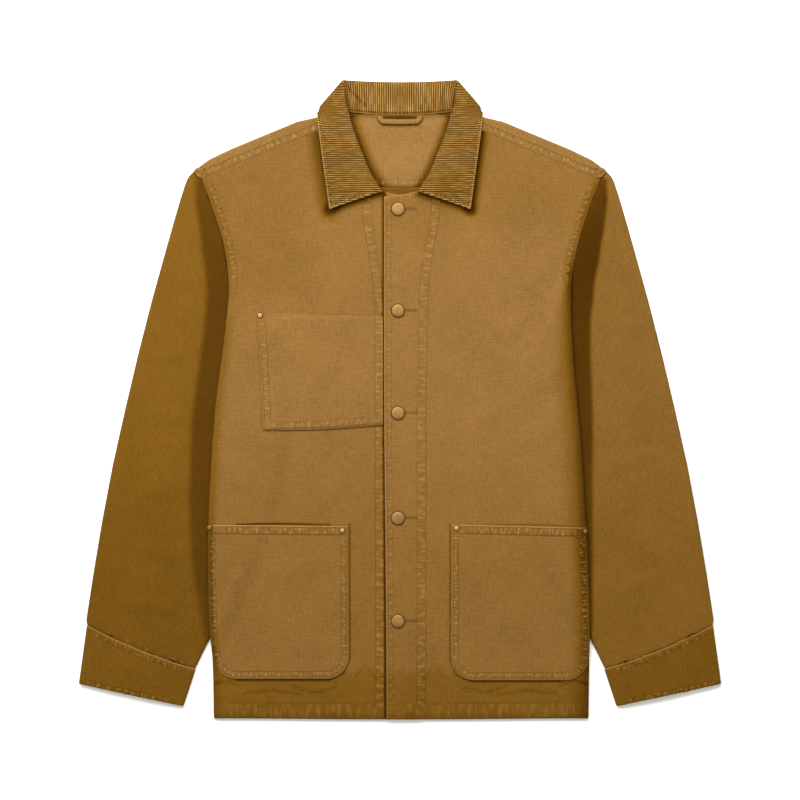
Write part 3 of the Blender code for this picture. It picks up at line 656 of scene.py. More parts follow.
for side in (-1, 1):
    shoulder = [(side * x, y) for x, y in SHOULDER_SEAM][::side]
    bands.append((shoulder, 1.8, 8.6, 7.5, 0.5, 31 + side, 0.75))
    armhole = [(side * (YOKE_TIP - 8.5), 270), (side * (YOKE_TIP + 0.5), 286)][::side]
    bands.append((armhole, 2.4, 9.4, 7, 0.3, 41 + side, 0.6))
swell, outer_sewn = sewn_bands(outer, bands)
sewn = np.concatenate([inner_sewn, outer_sewn])
points = raised(points, np.concatenate([np.zeros(inner.shape[:2]), swell]))
# painted shade where the collar's rolls and the neck seam shade the inside, and painted shadow in the
# slot over the loop and under the loop
wear_and_painted_shade = np.zeros(points.shape[:2])
shade = 0.18 * np.ones(inner.shape[:2])
for side in (-1, 1):
    roll = [(side * x, y) for x, y in INNER_ROLL]
    shade = np.minimum(shade, 0.18 - 1.1 * shade_beside(inner, roll, 17 if side < 0 else 13))
shade -= 0.5 * shade_beside(inner, [(-72, 351.6), (0, 347.4), (72, 351.6)], 7)
slot_shadow = shade_beside(inner, [(-19, 346), (19, 346)], 3.6)
shadow_under_loop = shade_beside(inner, [(-22, 338.4), (-18, 337), (18, 337), (22, 338.4)], 4.2)
wear_and_painted_shade[:base_rows] = np.clip(shade - 1 * slot_shadow - 0.7 * shadow_under_loop, -1, 1)
wear_and_painted_shade[-1], wear_and_painted_shade[-2] = 0.7, 0.3
kept = (np.arange(len(points))[:, None] < base_rows) | (abs(xs)[None, :] > NECK_CORNER - 0.4)
yoke = cloth(
    "Back_yoke", points, canvas, wall=1.25, wear_and_painted_shade=wear_and_painted_shade, sewn=sewn, kept=kept[:, ::-1], turned_over=True
)
tell(yoke, "back_yoke")

# ----------------------------------------
# Fronts. Two panels of the same duck, each turned back at its edge, where a facing is sewn in, and
# hemmed. The wearer's left one laps over the right one, and their sides roll round to the back.
HEM_CENTRE, HEM_SIDE = -391.6, -390.4
NECKLINE = ((-19, 249), (8, 252.6), (31, 258), (47, 272), (67, 301), (80, 329), (82, 338))
ROLL_STEPS = np.linspace(0, 1, 9)[1:]
COLLAR_OUTLINE = (
    (24, 253.6), (60, 242.6), (86.4, 233.6), (89.6, 254.8), (93, 280), (96.6, 305), (103.4, 352),
)
# where the facing's stitches run, as x and y, from the neck to the hem
FACINGS = {
    1: ((51, 262), (48.5, 224), (41.3, 187.4), (35.5, 144.5), (34.3, 94.3), (32, 8.6), (31.6, -390)),
    -1: ((-46, 262), (-45.9, 224), (-39.6, 187.4), (-34.3, 151.9), (-31.2, 116.4), (-30.6, -28.2),
         (-29.6, -390)),
}
# the inner side, top and bottom of each lower pocket, beside which its front is in shade
POCKET_SHADES = {1: (61.6, -153, -345), -1: (61.6, -152, -343.4)}
# start, length and sag of each wrinkle under a lower pocket, drawn only in painted shade
POCKET_WRINKLE_SHADES = ((78, -352, 54, -7), (120, -361, 70, 5), (196, -350, 34, 6), (30, -340, 24, 16))
FRONT_CREASES = {
    1: (
        (206, 205, 120, 120, 14, 1.1, 13),
        (208, 150, 96, 70, 10, 0.9, 12),
        (60, 236, 150, 180, -9, 0.7, 14),
        (212, 92, 150, 8, 12, 1, 12),
        (70, 60, 120, -90, -9, 0.7, 13),
        (216, 20, 130, -70, 10, 0.8, 14),
        (40, -40, 60, -150, 7, 0.6, 11),
        (150, -350, 226, -366, 4, 0.7, 8),
        (60, -356, 130, -372, -3, 0.6, 7),
    ),
    -1: (
        (-206, 214, -132, 150, -10, 1, 12),
        (-70, 226, -150, 170, 9, 0.7, 14),
        (-208, 128, -178, 44, -8, 0.9, 11),
        (-218, 30, -150, -66, -14, 1, 13),
        (-60, -60, -110, -140, 8, 0.7, 12),
        (-190, -60, -120, -130, -9, 0.6, 12),
        (-226, -352, -140, -368, -3, 0.7, 8),
        (-120, -352, -44, -372, 4, 0.6, 7),
    ),
}


def side_roll(y):
    """Radius, turn and hidden width of a front's side edge at this height up the body."""
    at_armhole = smoothstep((y - 108) / 40)
    radius = (1 - at_armhole) * STACK / 2 + at_armhole * 1.3
    turn = np.radians(180 - 100 * at_armhole)
    tuck = 18.5 * (1 - smoothstep((y - 98) / 39)) + 0.3
    return radius, turn, tuck


def hem_at(x):
    """How far down the hem is, at this distance from the middle."""
    return HEM_CENTRE + smoothstep(x / 180 - 0.2) * (HEM_SIDE - HEM_CENTRE)


def lap_at(y):
    """Where the edge of the upper front is at this height. It leans a little."""
    return 3.2 * smoothstep((60 - y) / 450) - 19.6


fronts = {}
side_lines = {}


def side_at(side, y):
    """How far out the body's side is at this height."""
    return np.interp(y, *side_lines[side])


for side, title, lap in ((-1, "Front_right", 14.6), (1, "Front_left", 19.6)):
    form = form_of(f"front_{title[6:]}")
    ys = np.linspace(-386.6, 268.5, 150)
    side_edge = trace(form, [(side * 400, y) for y in ys], (-side, 0))
    side_edge[0, 1] = HEM_SIDE
    outer = abs(side_edge[:, 0])
    side_lines[side] = (side_edge[:, 1], outer)
    radius, _, _ = side_roll(side_edge[:, 1])
    right = np.stack([side * (outer - radius), side_edge[:, 1]], axis=1)
    hem_x = np.linspace(-lap, abs(right[0, 0]), 60)
    bottom = np.stack([side * hem_x, hem_at(hem_x)], axis=1)
    bottom[-1] = right[0]
    lap_y = np.linspace(HEM_CENTRE, 249, 80)
    laps = lap_at(lap_y) if side > 0 else np.full(80, -lap)
    left = np.stack([side * laps, lap_y], axis=1)
    neckline = np.array(NECKLINE)
    neckline[0, 0] = laps[-1]
    shoulder_x = np.linspace(83, abs(right[-1, 0]), 30)
    shoulder_y = np.interp(shoulder_x, *np.array(SHOULDER_SEAM).T) - 0.35
    top = np.concatenate([neckline, np.stack([shoulder_x, shoulder_y], axis=1)]) * (side, 1)
    neckline = neckline * (side, 1)
    right[-1] = top[-1]
    bottom[0], left[0] = (side * laps[0], HEM_CENTRE), (side * laps[0], HEM_CENTRE)
    across = spaced(250, 50, 14, 1.45, 3, (lap + 61.6,))
    even = np.linspace(0, 1, 200)
    draft = patch(bottom, top, left, right, across, even)
    busy = [640 * np.interp(y, draft[:, int(share * len(across)), 1], even)
            for y in (-151.4, -343.8) for share in (0.35, 0.5, 0.65, 0.8)]
    up = spaced(640, 24, 14, 1.5, 3.15, busy)
    plan = patch(bottom, top, left, right, across, up)
    held = np.stack([plan[..., 0], np.maximum(plan[..., 1], -386.4)], axis=-1)
    height = eased(height_of(form, held), 5) - 1.8 * smoothstep((-384 - plan[..., 1]) / 7)
    armhole = right[right[:, 1] > 128]
    facing = np.array(FACINGS[side])
    swell, sewn = sewn_bands(
        plan,
        (
            (neckline[::-side], 1.4, 6.4, 7, 0.2, 51 + side, 0.3),
            (armhole[::side], 2.4, 9.8, 6, 0.45, 61 + side, 0.58),
            (bottom[::-side], -19.4, -0.6, 11, 0.6, 71 + side, 0.28),
            (left[::-side], 2.8, 8.8, 8, 0.2, 81 + side, 0.45 if side > 0 else 0),
            (facing[::side], -10.6, -0.2, 10, 0.4, 91 + side, 0.5),
        ),
    )
    soft = creased(plan, FRONT_CREASES[side])
    high, to_side = plan[..., 1], side_at(side, plan[..., 1]) - abs(plan[..., 0])
    low_down = smoothstep((-322 - high) / 24)
    # painted shade: darker near the hem, and a little darker lower down the body, following the light's
    # fall-off
    wear_and_painted_shade = -0.24 * low_down - 0.2 * smoothstep((50 - high) / 380)
    collar_edge = np.array(COLLAR_OUTLINE) * (side, 1)
    # painted shadow beside the collar's outer edge and under its lower edge
    wear_and_painted_shade -= (0.72 if side < 0 else 0.9) * shade_beside(plan, collar_edge[2:], 21 if side < 0 else 13)
    wear_and_painted_shade -= 0.75 * shade_beside(plan, collar_edge[:3], 11)
    if side > 0:
        # painted shade down the body's side, where it turns away, and over the upper part
        reach = np.interp(high, (-390, 60, 150), (34, 34, 16))
        wear_and_painted_shade -= (0.55 - 0.2 * low_down) * smoothstep(1 - to_side / reach) * smoothstep((190 - high) / 40)
        at_edge = 0.26 - 0.16 * low_down + 0.2 * smoothstep((high - 100) / 40)
        wear_and_painted_shade -= at_edge * smoothstep(1 - to_side / 14) + 0.14 * smoothstep((high - 170) / 80)
    else:
        # painted shadow beside the upper front's edge, painted shade along the side and over the upper
        # outer part, and a little darker all over
        wear_and_painted_shade -= 1.1 * smoothstep(1 - abs(plan[..., 0] - lap_at(high)) / 4.6)
        wear_and_painted_shade -= (0.44 - 0.24 * low_down) * smoothstep(1 - to_side / 16) * smoothstep((130 - high) / 60)
        wear_and_painted_shade -= 0.15 * smoothstep((high - 60) / 120) * smoothstep((abs(plan[..., 0]) - 70) / 80)
        wear_and_painted_shade -= 0.2 * smoothstep(1 - to_side / 11) * smoothstep((high - 100) / 40) + 0.04
    wear_and_painted_shade += 0.6 * shade_beside(plan, left, 1.9) * (side > 0) + 0.6 * shade_beside(plan, neckline, 2.4)
    # painted shade round the pocket's edge and at its mouth, and painted shade for a few wrinkles under
    # it
    inner, y_top, y_low = POCKET_SHADES[side]
    shade_round_pocket = (
        (inner, y_top), (inner, y_low + 26), (inner + 8, y_low + 8), (inner + 26, y_low), (200, y_low),
    )
    wear_and_painted_shade -= 0.5 * shade_beside(plan, np.array(shade_round_pocket) * (side, 1), 2.6)
    for x, y, far, fall in POCKET_WRINKLE_SHADES:
        wrinkle_shade = np.array(((x, y), (x + far / 2, y + fall), (x + far, y + 2))) * (side, 1)
        wear_and_painted_shade -= 0.2 * shade_beside(plan, wrinkle_shade, 3.4)
    mouth = ((86, y_top - 1.6), (130, y_top + 0.1), (176, y_top + 0.4), (202, y_top - 1.2))
    wear_and_painted_shade -= (1 if side < 0 else 0.4) * shade_beside(plan, np.array(mouth) * (side, 1), 2.3)
    height = height + soft + swell
    points = lifted(plan, height)
    edge, row_y = points[:, -1], points[:, -1, 1]
    radius, turn, tuck = side_roll(row_y)
    radius = radius + soft[:, -1] / 2
    extra = []
    for step in ROLL_STEPS:
        a = turn * step
        x = abs(edge[:, 0]) + radius * np.sin(a)
        extra.append(np.stack([side * x, row_y, edge[:, 2] - radius * (1 - np.cos(a))], axis=1))
    for share in (0.25, 0.6, 1):
        last = extra[len(ROLL_STEPS) - 1]
        x = abs(last[:, 0]) + share * tuck * np.cos(turn)
        rest = height_of(form, np.stack([side * x, row_y], axis=1), below=True)
        wrapped = smoothstep((turn - math.radians(120)) / math.radians(60))
        z = wrapped * rest + (1 - wrapped) * (last[:, 2] - share * np.minimum(tuck, 1) * np.sin(turn))
        extra.append(np.stack([side * x, row_y, z], axis=1))
    points = np.concatenate([points, np.stack(extra, axis=1)], axis=1)
    wear_and_painted_shade = np.concatenate([wear_and_painted_shade, np.repeat(wear_and_painted_shade[:, -1:], len(extra), axis=1)], axis=1)
    sewn = np.concatenate([sewn, np.zeros((len(sewn), len(extra), 3))], axis=1)
    fronts[side] = cloth(title, points, canvas, wear_and_painted_shade=wear_and_painted_shade, sewn=sewn, turned_over=side < 0)
    tell(fronts[side], f"front_{title[6:]}")

# ----------------------------------------
# Sleeves and cuffs. Each sleeve is a tube of duck, set into its armhole and pressed flat, and partly
# under the body. Its cuff is a second, shorter tube, sewn on in a seam that dips at the inside.
SLEEVE_CREASES = {
    1: (
        (236, 236, 268, 60, 5, -0.9, 12),
        (224, 150, 290, 118, -6, 1, 11),
        (216, 84, 300, 30, 8, 0.9, 12),
        (226, -10, 318, -50, -7, 0.8, 12),
        (236, -96, 330, -70, 8, 0.9, 11),
        (250, -150, 352, -190, -8, 0.8, 12),
        (262, -236, 350, -214, 5, 0.8, 9),
        (276, -282, 300, -200, 4, 0.7, 9),
    ),
    -1: (
        (-234, 226, -276, 70, -6, -0.9, 13),
        (-226, 164, -286, 140, 5, 0.9, 10),
        (-222, 70, -308, 36, -8, 1, 12),
        (-232, -20, -310, -10, 7, 0.8, 11),
        (-240, -110, -340, -130, -9, 0.9, 12),
        (-252, -190, -330, -170, 6, 0.8, 11),
        (-262, -262, -352, -250, -6, 0.8, 9),
        (-346, -200, -372, -262, 3, 0.7, 8),
    ),
}
SLEEVE_CORNERS = ((253.6, 280), (199.6, 118.8), (251.9, -328), (383.4, -275.2))
# how wide the shade of the body lies on the sleeve, at heights up the body
SLEEVE_SHADE = {
    -1: ((-330, -294, -245, -196, -122, -24, 73, 184, 245, 269, 281),
         (3, 8, 14, 22, 26, 29, 28, 30, 19, 9, 2)),
    1: ((-330, -196, -98, 0, 98, 122, 171, 208, 245, 270, 281),
        (1, 7, 12, 20, 25, 28, 31, 28, 20, 8, 2)),
}
CUFF_CORNERS = ((383.7, -276.4), (251.9, -329.6), (266.6, -374.8), (393, -347.8))


def tube(form, side, corners, rows, columns, start_way):
    """The plan of a flat tube, the middle between its layers and half their gap, from its solid."""
    outer_start, inner_start, inner_end, outer_end = np.array(corners) * (side, 1)

    def edge_line(first, last, far, way):
        """The edge between two corners, met from far off along a way over the plan."""
        between = first + np.linspace(0.01, 0.99, 110)[:, None] * (last - first)
        away = np.array(way, float)
        starts = between - away * (between @ away)[:, None] + far * abs(away)
        return np.concatenate([[first], trace(form, starts, away, 0.3, 8), [last]])

    lines = [
        edge_line(outer_start, outer_end, side * 430, (-side, 0)),
        edge_line(inner_start, inner_end, side * 60, (side, 0)),
    ]
    start_far = side * 60 if start_way[0] else -200
    ends = [
        edge_line(outer_start, inner_start, start_far, (side * start_way[0], start_way[1])),
        edge_line(outer_end, inner_end, -430, (0, 1)),
    ]
    plan = patch(ends[0], ends[1], lines[0], lines[1], columns, rows)
    upper, lower = height_of(form, plan), height_of(form, plan, below=True)
    middle = (upper + lower) / 2
    half = np.maximum((upper - lower) / 2, 0)
    return plan, middle, half, ends


def both_layers(plan, upper, lower):
    """The grid of a tube pressed flat: its upper layer, then its lower one back again."""
    return np.concatenate([lifted(plan, upper), lifted(plan, lower)[:, -2::-1]], axis=1)


sleeves, cuffs = {}, {}
for side, which in ((-1, "right"), (1, "left")):
    form = form_of(f"sleeve_{which}")
    rows = spaced(600, 14, 14, 1.6, 3.4)
    flat = spaced(190, 8, 8, 0.7, 3.2)
    plan, middle, half, ends = tube(form, side, SLEEVE_CORNERS, rows, flat, (1, 0))
    half = eased(half, 2)
    soft = creased(plan, SLEEVE_CREASES[side])
    hem = ends[1][::side]
    bands = [(hem, *sorted((way * 0.4, way * 5)), 9, 0.3, 111 + side, 0.22) for way in (-1, 1)]
    swell, sewn = sewn_bands(plan, bands)
    edge = np.minimum(1, half / 1.2)
    # painted shade along the inner side, where the sleeve lies in the body's shade, and over the whole
    # sleeve, darker towards the cuff
    past_side = abs(plan[..., 0]) - side_at(side, plan[..., 1])
    reach = np.interp(plan[..., 1], *SLEEVE_SHADE[side])
    soften = 10 if side < 0 else 6
    shade_depth = (0.8 + reach / 150) * smoothstep((reach + soften * 0.35 - past_side) / soften)
    base = (0.46 if side < 0 else 0.26) + 0.13 * smoothstep((60 - plan[..., 1]) / 330)
    darkest_shade = 0.86 if side < 0 else 0.97
    wear_and_painted_shade = -base - (darkest_shade - base) * np.clip(shade_depth, 0, 1) * smoothstep((plan[..., 1] + 340) / 60)
    under = np.maximum(middle - half + np.abs(soft) * 0.6 * edge, 0)
    points = both_layers(plan, middle + half + (soft + swell) * edge, under)
    # the seam tucks in under the front's edge
    tuck = points[0] - points[1]
    tuck[:, 2] = 0
    seam_y = points[0, :, 1:2]
    at_top = smoothstep((seam_y - 262) / 4) * smoothstep((276 - seam_y) / 5)
    deep = 3.6 + 3 * smoothstep((seam_y - 236) / 24) + 5.5 * at_top
    tuck *= deep / (np.linalg.norm(tuck, axis=1, keepdims=True) + 1e-6)
    points[0] += tuck - (0, 0, 0.9)
    points[0, :, 2] = np.maximum(points[0, :, 2], 0)
    wear_and_painted_shade = np.concatenate([wear_and_painted_shade, -0.3 * np.ones(wear_and_painted_shade.shape)[:, 1:]], axis=1)
    sewn = np.concatenate([sewn, sewn[:, ::-1][:, 1:]], axis=1)
    sleeves[side] = cloth(f"Sleeve_{which}", points, canvas, wear_and_painted_shade=wear_and_painted_shade, sewn=sewn, turned_over=side > 0)
    tell(sleeves[side], f"sleeve_{which}")

    form = form_of(f"cuff_{which}")
    rows = spaced(48, 12, 12, 1.2, 1.6)
    plan, middle, half, ends = tube(form, side, CUFF_CORNERS, rows, flat, (0, -1))
    half = eased(half, 1)
    seam, hem = ends[0][::side], ends[1][::side]
    bands = [(line, *sorted((way * near, way * far)), 7.5, rise, seed, plain)
             for line, near, far, rise, seed, plain in ((seam, 2.2, 8.4, 0.3, 121 + side, 0.42),
                                                       (hem, 0.4, 6, 0.55, 131 + side, 0.5))
             for way in (-1, 1)]
    swell, sewn = sewn_bands(plan, bands)
    edge = np.minimum(1, half / 1.2)
    # the seam's edge stands up over the sleeve, and is rubbed pale
    _, from_seam, _ = beside(plan, seam)
    lip = smoothstep(1 - abs(abs(from_seam) - 0.9) / 1.5)
    upper = middle + half + swell * edge + 0.8 * lip
    points = both_layers(plan, upper, np.maximum(middle - half, 0))
    # painted shade: the whole cuff a little darker, besides its pale lip
    wear_and_painted_shade = np.concatenate([0.85 * lip, np.zeros(lip.shape)[:, 1:]], axis=1) - 0.56
    sewn = np.concatenate([sewn, sewn[:, ::-1][:, 1:]], axis=1)
    cuffs[side] = cloth(f"Cuff_{which}", points, canvas, wear_and_painted_shade=wear_and_painted_shade, sewn=sewn, turned_over=side > 0)
    tell(cuffs[side], f"cuff_{which}")

# ----------------------------------------
# Collar. One band of cut corduroy, sewn to the neck, standing up inside and folded over at its roll.
# Its wales run along the band. At the back it has fallen flat behind the neck, under the yoke.
WALE_PITCH, WALE_HEIGHT = 2.6, 0.55
COLLAR_TIP, COLLAR_TIP_ROWS = (86.4, 234.2, 12.4), 20.4
# Distance along the band, then the neck seam, the stand's middle, the roll, the fall's middle and
# the outer edge, for one side
COLLAR_ROWS = (
    (20.4, (30, 254.8, 8.6), (26, 254.8, 8.6), (21.4, 254.8, 10.8), (55, 254.8, 13.2),
     (89.3, 254.8, 13)),
    (46, (52, 280, 7.4), (44.5, 280, 7.3), (36.5, 280, 9.7), (66, 280, 12.3), (92.7, 280, 12.9)),
    (71, (67.6, 305, 6.9), (58, 305, 6.8), (46.8, 305, 9.1), (73, 305, 11.6), (96.2, 305, 12.2)),
    (96, (79.6, 330, 6.8), (68.5, 330, 6.7), (56.4, 330, 8.9), (82, 330, 11.3), (99.6, 330, 10.8)),
    (118, (82.6, 352, 6.6), (73, 352, 5.6), (62.6, 352, 8.6), (99.4, 352.4, 8.2),
     (101.8, 352.2, 5.2)),
    (124, (81.6, 352.2, 5.4), (76.5, 358, 3.2), (63.6, 358.6, 8.4), (99, 358.2, 6.6),
     (99.5, 350.6, 0.4)),
    (131, (79.6, 352.6, 4.5), (79, 364, 2.2), (64.6, 365, 8.2), (94.4, 364.8, 5.4), (92, 345.4, 0)),
    (143, (73, 353.2, 4.4), (72.6, 375, 2), (66.6, 378, 7), (83.2, 378, 4.4), (80.5, 342.5, 0)),
    (149, (69, 353.4, 4.4), (69.6, 380, 2.6), (67.9, 386.8, 4.8), (76, 386.4, 3.4), (74.8, 341.8, 0)),
    (154, (65, 353.4, 4.4), (66.4, 374, 4.2), (68.8, 392.8, 2.6), (70.6, 391.4, 2), (69.6, 341, 0)),
    (168, (54, 352.2, 4.4), (54.5, 371, 4.5), (55.4, 392, 2.4), (55, 365, 0), (55, 340, 0)),
    (182, (40, 350.8, 4.4), (40.2, 370, 4.6), (40.4, 391.2, 2.4), (40, 364, 0), (40, 339, 0)),
    (202, (20, 349.4, 4.4), (20.1, 369, 4.6), (20.2, 390.6, 2.4), (20, 363.5, 0), (20, 338.3, 0)),
    (221, (0, 349, 4.4), (0, 369, 4.6), (0, 390.4, 2.4), (0, 363.5, 0), (0, 338, 0)),
)


def follow(table, at, column):
    """A smooth curve through one column of a table, with no overshoot between its rows."""
    keys = np.array([row[0] for row in table], float)
    values = np.array([row[column] for row in table], float)
    steps = np.diff(keys)
    slopes = np.diff(values, axis=0) / steps[:, None]
    same_way = slopes[:-1] * slopes[1:] > 0
    total = np.where(same_way, slopes[:-1] + slopes[1:], 1)
    middle = np.where(same_way, 2 * slopes[:-1] * slopes[1:] / total, 0)
    tangents = np.concatenate([slopes[:1], middle, slopes[-1:]])
    at = np.clip(at, keys[0], keys[-1])
    i = np.clip(np.searchsorted(keys, at) - 1, 0, len(steps) - 1)
    step = steps[i][:, None]
    t = ((at - keys[i]) / steps[i])[:, None]
    start, end = values[i] * (1 + 2 * t) * (1 - t) ** 2, values[i + 1] * t * t * (3 - 2 * t)
    leaving = step * tangents[i] * t * (1 - t) ** 2
    return start + end + leaving - step * tangents[i + 1] * t * t * (1 - t)


def band(distances):
    """The guide lines across the band at these distances, from the neck seam to the outer edge."""
    rows = np.stack([follow(COLLAR_ROWS, distances, column) for column in range(1, 6)], axis=1)
    tip = np.array(COLLAR_TIP, float)
    for i, distance in enumerate(distances):
        if distance < COLLAR_TIP_ROWS:
            share = distance / COLLAR_TIP_ROWS
            end = tip + share * (np.array(COLLAR_ROWS[0][3]) - tip) - (2.4 * (1 - share), 0, 0)
            edge = tip + share * (np.array(COLLAR_ROWS[0][5]) - tip)
            rows[i] = (end, end, end, (end + edge) / 2, edge)
    return rows


def stepped(start, end, step, most):
    """Points this far from start towards end, but at most this share of the way."""
    away = np.linalg.norm(end - start, axis=1) + 0.01
    return start + (end - start) * np.minimum(step / away, most)[:, None]


half_length = COLLAR_ROWS[-1][0]
count = int(half_length / WALE_PITCH * 6)
distances = np.linspace(0, half_length, count + 1)
guides = band(distances)
seam, stand, roll, fall, edge = (guides[:, k] for k in range(5))
below, above = stepped(roll, stand, 2.3, 0.7), stepped(roll, fall, 2.3, 0.7)
below[:, 2] = roll[:, 2] + 0.88 * (stand[:, 2] - roll[:, 2])
above[:, 2] = roll[:, 2] + 0.88 * (fall[:, 2] - roll[:, 2])
tucked = seam - (0, 0.6, 2.7)
lip, rim = stepped(seam, stand, 3.2, 0.4), stepped(edge, fall, 5, 0.4)
stops = (tucked, seam, lip, stand, below, roll, above, fall, rim, edge)
shares = (2, 4, 4, 4, 3, 3, 9, 8, 6)
columns = []
for a, b, pieces in zip(stops[:-1], stops[1:], shares):
    columns += [a + (b - a) * k / pieces for k in range(pieces)]
columns.append(edge)
half_band = np.stack(columns, axis=1)
roll_column = sum(shares[:5])
stand_columns = sum(shares[:6])
for _ in range(3):
    inner = half_band[:, 1 : stand_columns + 4]
    smoothed = half_band[:, : stand_columns + 3] - 2 * inner + half_band[:, 2 : stand_columns + 5]
    half_band[:, 1 : stand_columns + 4] = inner + 0.25 * smoothed
# the smoothing drew the roll in, so it goes back out to its line
across = np.arange(half_band.shape[1])
near_roll = bell(across, roll_column, 2.2)
half_band += (roll - half_band[:, roll_column])[:, None] * near_roll[None, :, None]
# how far each point of the fall is from its edges
to_edge = np.linalg.norm(half_band - edge[:, None], axis=2)
lower = np.array((COLLAR_TIP[:2], COLLAR_ROWS[0][3][:2]))
along_lower, from_lower, _ = beside(half_band[..., :2], lower)
along_edge, _, _ = beside(half_band[..., :2], edge[::6, :2])
from_lower = abs(from_lower)
on_fall = (across >= stand_columns)[None, :] & (half_band[..., 2] > 5.5)
normal = np.cross(np.gradient(half_band, axis=1), np.gradient(half_band, axis=0))
tip_rows = int(np.sum(distances < COLLAR_TIP_ROWS - 0.01))
normal[:tip_rows, :stand_columns] = normal[:tip_rows, stand_columns + 6][:, None]
normal /= np.linalg.norm(normal, axis=2, keepdims=True) + 1e-9
normal *= np.sign(normal[count // 3, -6, 2])
# the wales wander a little, and are brushed flat in places
grid = half_band.shape[:2]
phase = (half_length - distances[:, None]) / WALE_PITCH + 0.5 + 0.5 * drifting(*grid, 40, 12, 17)
crest = np.abs(np.sin(math.pi * phase)) ** 0.7
relief = crest * (0.7 + 0.3 * drifting(*grid, 6, 3, 19)) + 0.14 * drifting(*grid, 24, 6, 20)
nearness = np.where(on_fall, np.minimum(to_edge, from_lower), 99)
welt = bell(nearness, 1.3, 1.1) * 0.5 - bell(nearness, 3.4, 0.8) * 0.45
flat_seam = smoothstep(np.linalg.norm(half_band - seam[:, None], axis=2) / 2.6)
# they lie flatter where the fall turns under, beside the neck
on_stand = across < roll_column
under = smoothstep((distances - 108) / 10)[:, None] * smoothstep((across - stand_columns - 2) / 5)
rise = WALE_HEIGHT * (relief - 1) * flat_seam * (1 - 0.85 * under) + welt * (1 - under)
for line, seed in ((edge[::8, :2], 141), (lower, 142)):
    bumps = puckered(half_band[..., :2], line, -4.6, 4.6, 6.5, 0.45, seed)
    rise += np.where(on_fall, bumps, 0)
half_band = half_band + normal * rise[..., None]
# paler along the wales' crests, where the pile is rubbed, and darker between them in painted shade
half_wear_and_shade = crest**2.2 - 0.6 + 0.1 * on_stand + 0.12 * drifting(*grid, 24, 6, 20)
half_wear_and_shade *= 0.3 + 1.3 * drifting(*grid, 6, 2.4, 21)
half_wear_and_shade *= flat_seam * (1 - 0.5 * under)
# paler along the fall's edges, where rubbed, and painted shade along the stitched groove
half_wear_and_shade += 0.7 * smoothstep(1 - nearness / 2) - 0.22 * smoothstep(1 - abs(nearness - 3.4) / 1.6)
# painted shade on the stand where it turns at the neck's corners and in a row beside its seam, and pale
# along its seam
from_seam = np.where(on_stand, np.linalg.norm(half_band - seam[:, None], axis=2), 99)
at_corner = bell(distances, 128, 24)[:, None] * on_stand
half_wear_and_shade = half_wear_and_shade - 0.42 * at_corner + 0.55 * smoothstep(1 - from_seam / 1.9)
half_wear_and_shade -= 0.5 * smoothstep(1 - abs(from_seam - 2.9) / 1.5)
along = np.where(to_edge < from_lower, along_edge, along_lower + 40)
half_sewn = np.stack([along / 6, (nearness - 3) / 2.2, 0.8 * (nearness < 7)], axis=-1)
half_band[-1, :, 0] = 0
points = np.concatenate([half_band, half_band[-2::-1] * (-1, 1, 1)])
wear_and_painted_shade = np.concatenate([half_wear_and_shade, half_wear_and_shade[-2::-1]])
# painted shade of a soft fold that runs down the stand from one corner
fold_shade = shade_beside(points[..., :2], [(-64, 384), (-52, 370), (-42, 361)], 2)
wear_and_painted_shade = wear_and_painted_shade - 0.4 * fold_shade * on_stand
sewn = np.concatenate([half_sewn, half_sewn[-2::-1]])
kept = np.ones(points.shape[:2], bool)
kept[:tip_rows, :stand_columns] = False
kept[len(kept) - tip_rows :, :stand_columns] = False


def corduroy_look(seams):
    """Cut pile: darker between the wales and wherever painted shade is laid on, paler and brushed along
    their crests.
    """
    made, nodes, links, inputs = new_look(
        "Corduroy", Roughness=0.95, Specular_IOR_Level=0.05,
        Sheen_Weight=0.12, Sheen_Roughness=0.4, Sheen_Tint=SOFT_SHEEN,
    )
    where = nodes.new("ShaderNodeTexCoord").outputs["Object"]
    pile = noise_on(nodes, links, where, 700, 3)
    mixed = nodes.new("ShaderNodeMix")
    mixed.inputs["Factor"].default_value = 0.5
    links.new(pile, mixed.inputs["A"])
    links.new(noise_on(nodes, links, where, 30, 4), mixed.inputs["B"])
    bands = placed(nodes, links, seams, carried(nodes, "sewn").outputs["Vector"])
    wear_and_painted_shade = carried(nodes, "wear_and_painted_shade").outputs["Fac"]
    wear_and_shade_level = maths(nodes, links, "MULTIPLY_ADD", bands.outputs["Shade"], 0.35, wear_and_painted_shade)
    wear_and_shade_level = maths(nodes, links, "SUBTRACT", wear_and_shade_level, 0.23)
    level = maths(nodes, links, "MULTIPLY_ADD", mixed.outputs["Result"], 0.9, wear_and_shade_level)
    deep, side, crest, worn_crest = (
        (0.052, 0.022, 0.001), (0.152, 0.0765, 0.012), (0.29, 0.165, 0.05), (0.37, 0.225, 0.088),
    )
    colour = ramp(nodes, links, level, (0, deep), (0.38, side), (0.8, crest), (1, worn_crest))
    links.new(colour, inputs["Base Color"])
    links.new(bumped(nodes, links, pile, 0.5, 0.0003), inputs["Normal"])
    return made


corduroy = corduroy_look(seams)
collar = cloth("Collar", points, corduroy, wear_and_painted_shade=wear_and_painted_shade, sewn=sewn, kept=kept)
tell(collar, "collar")

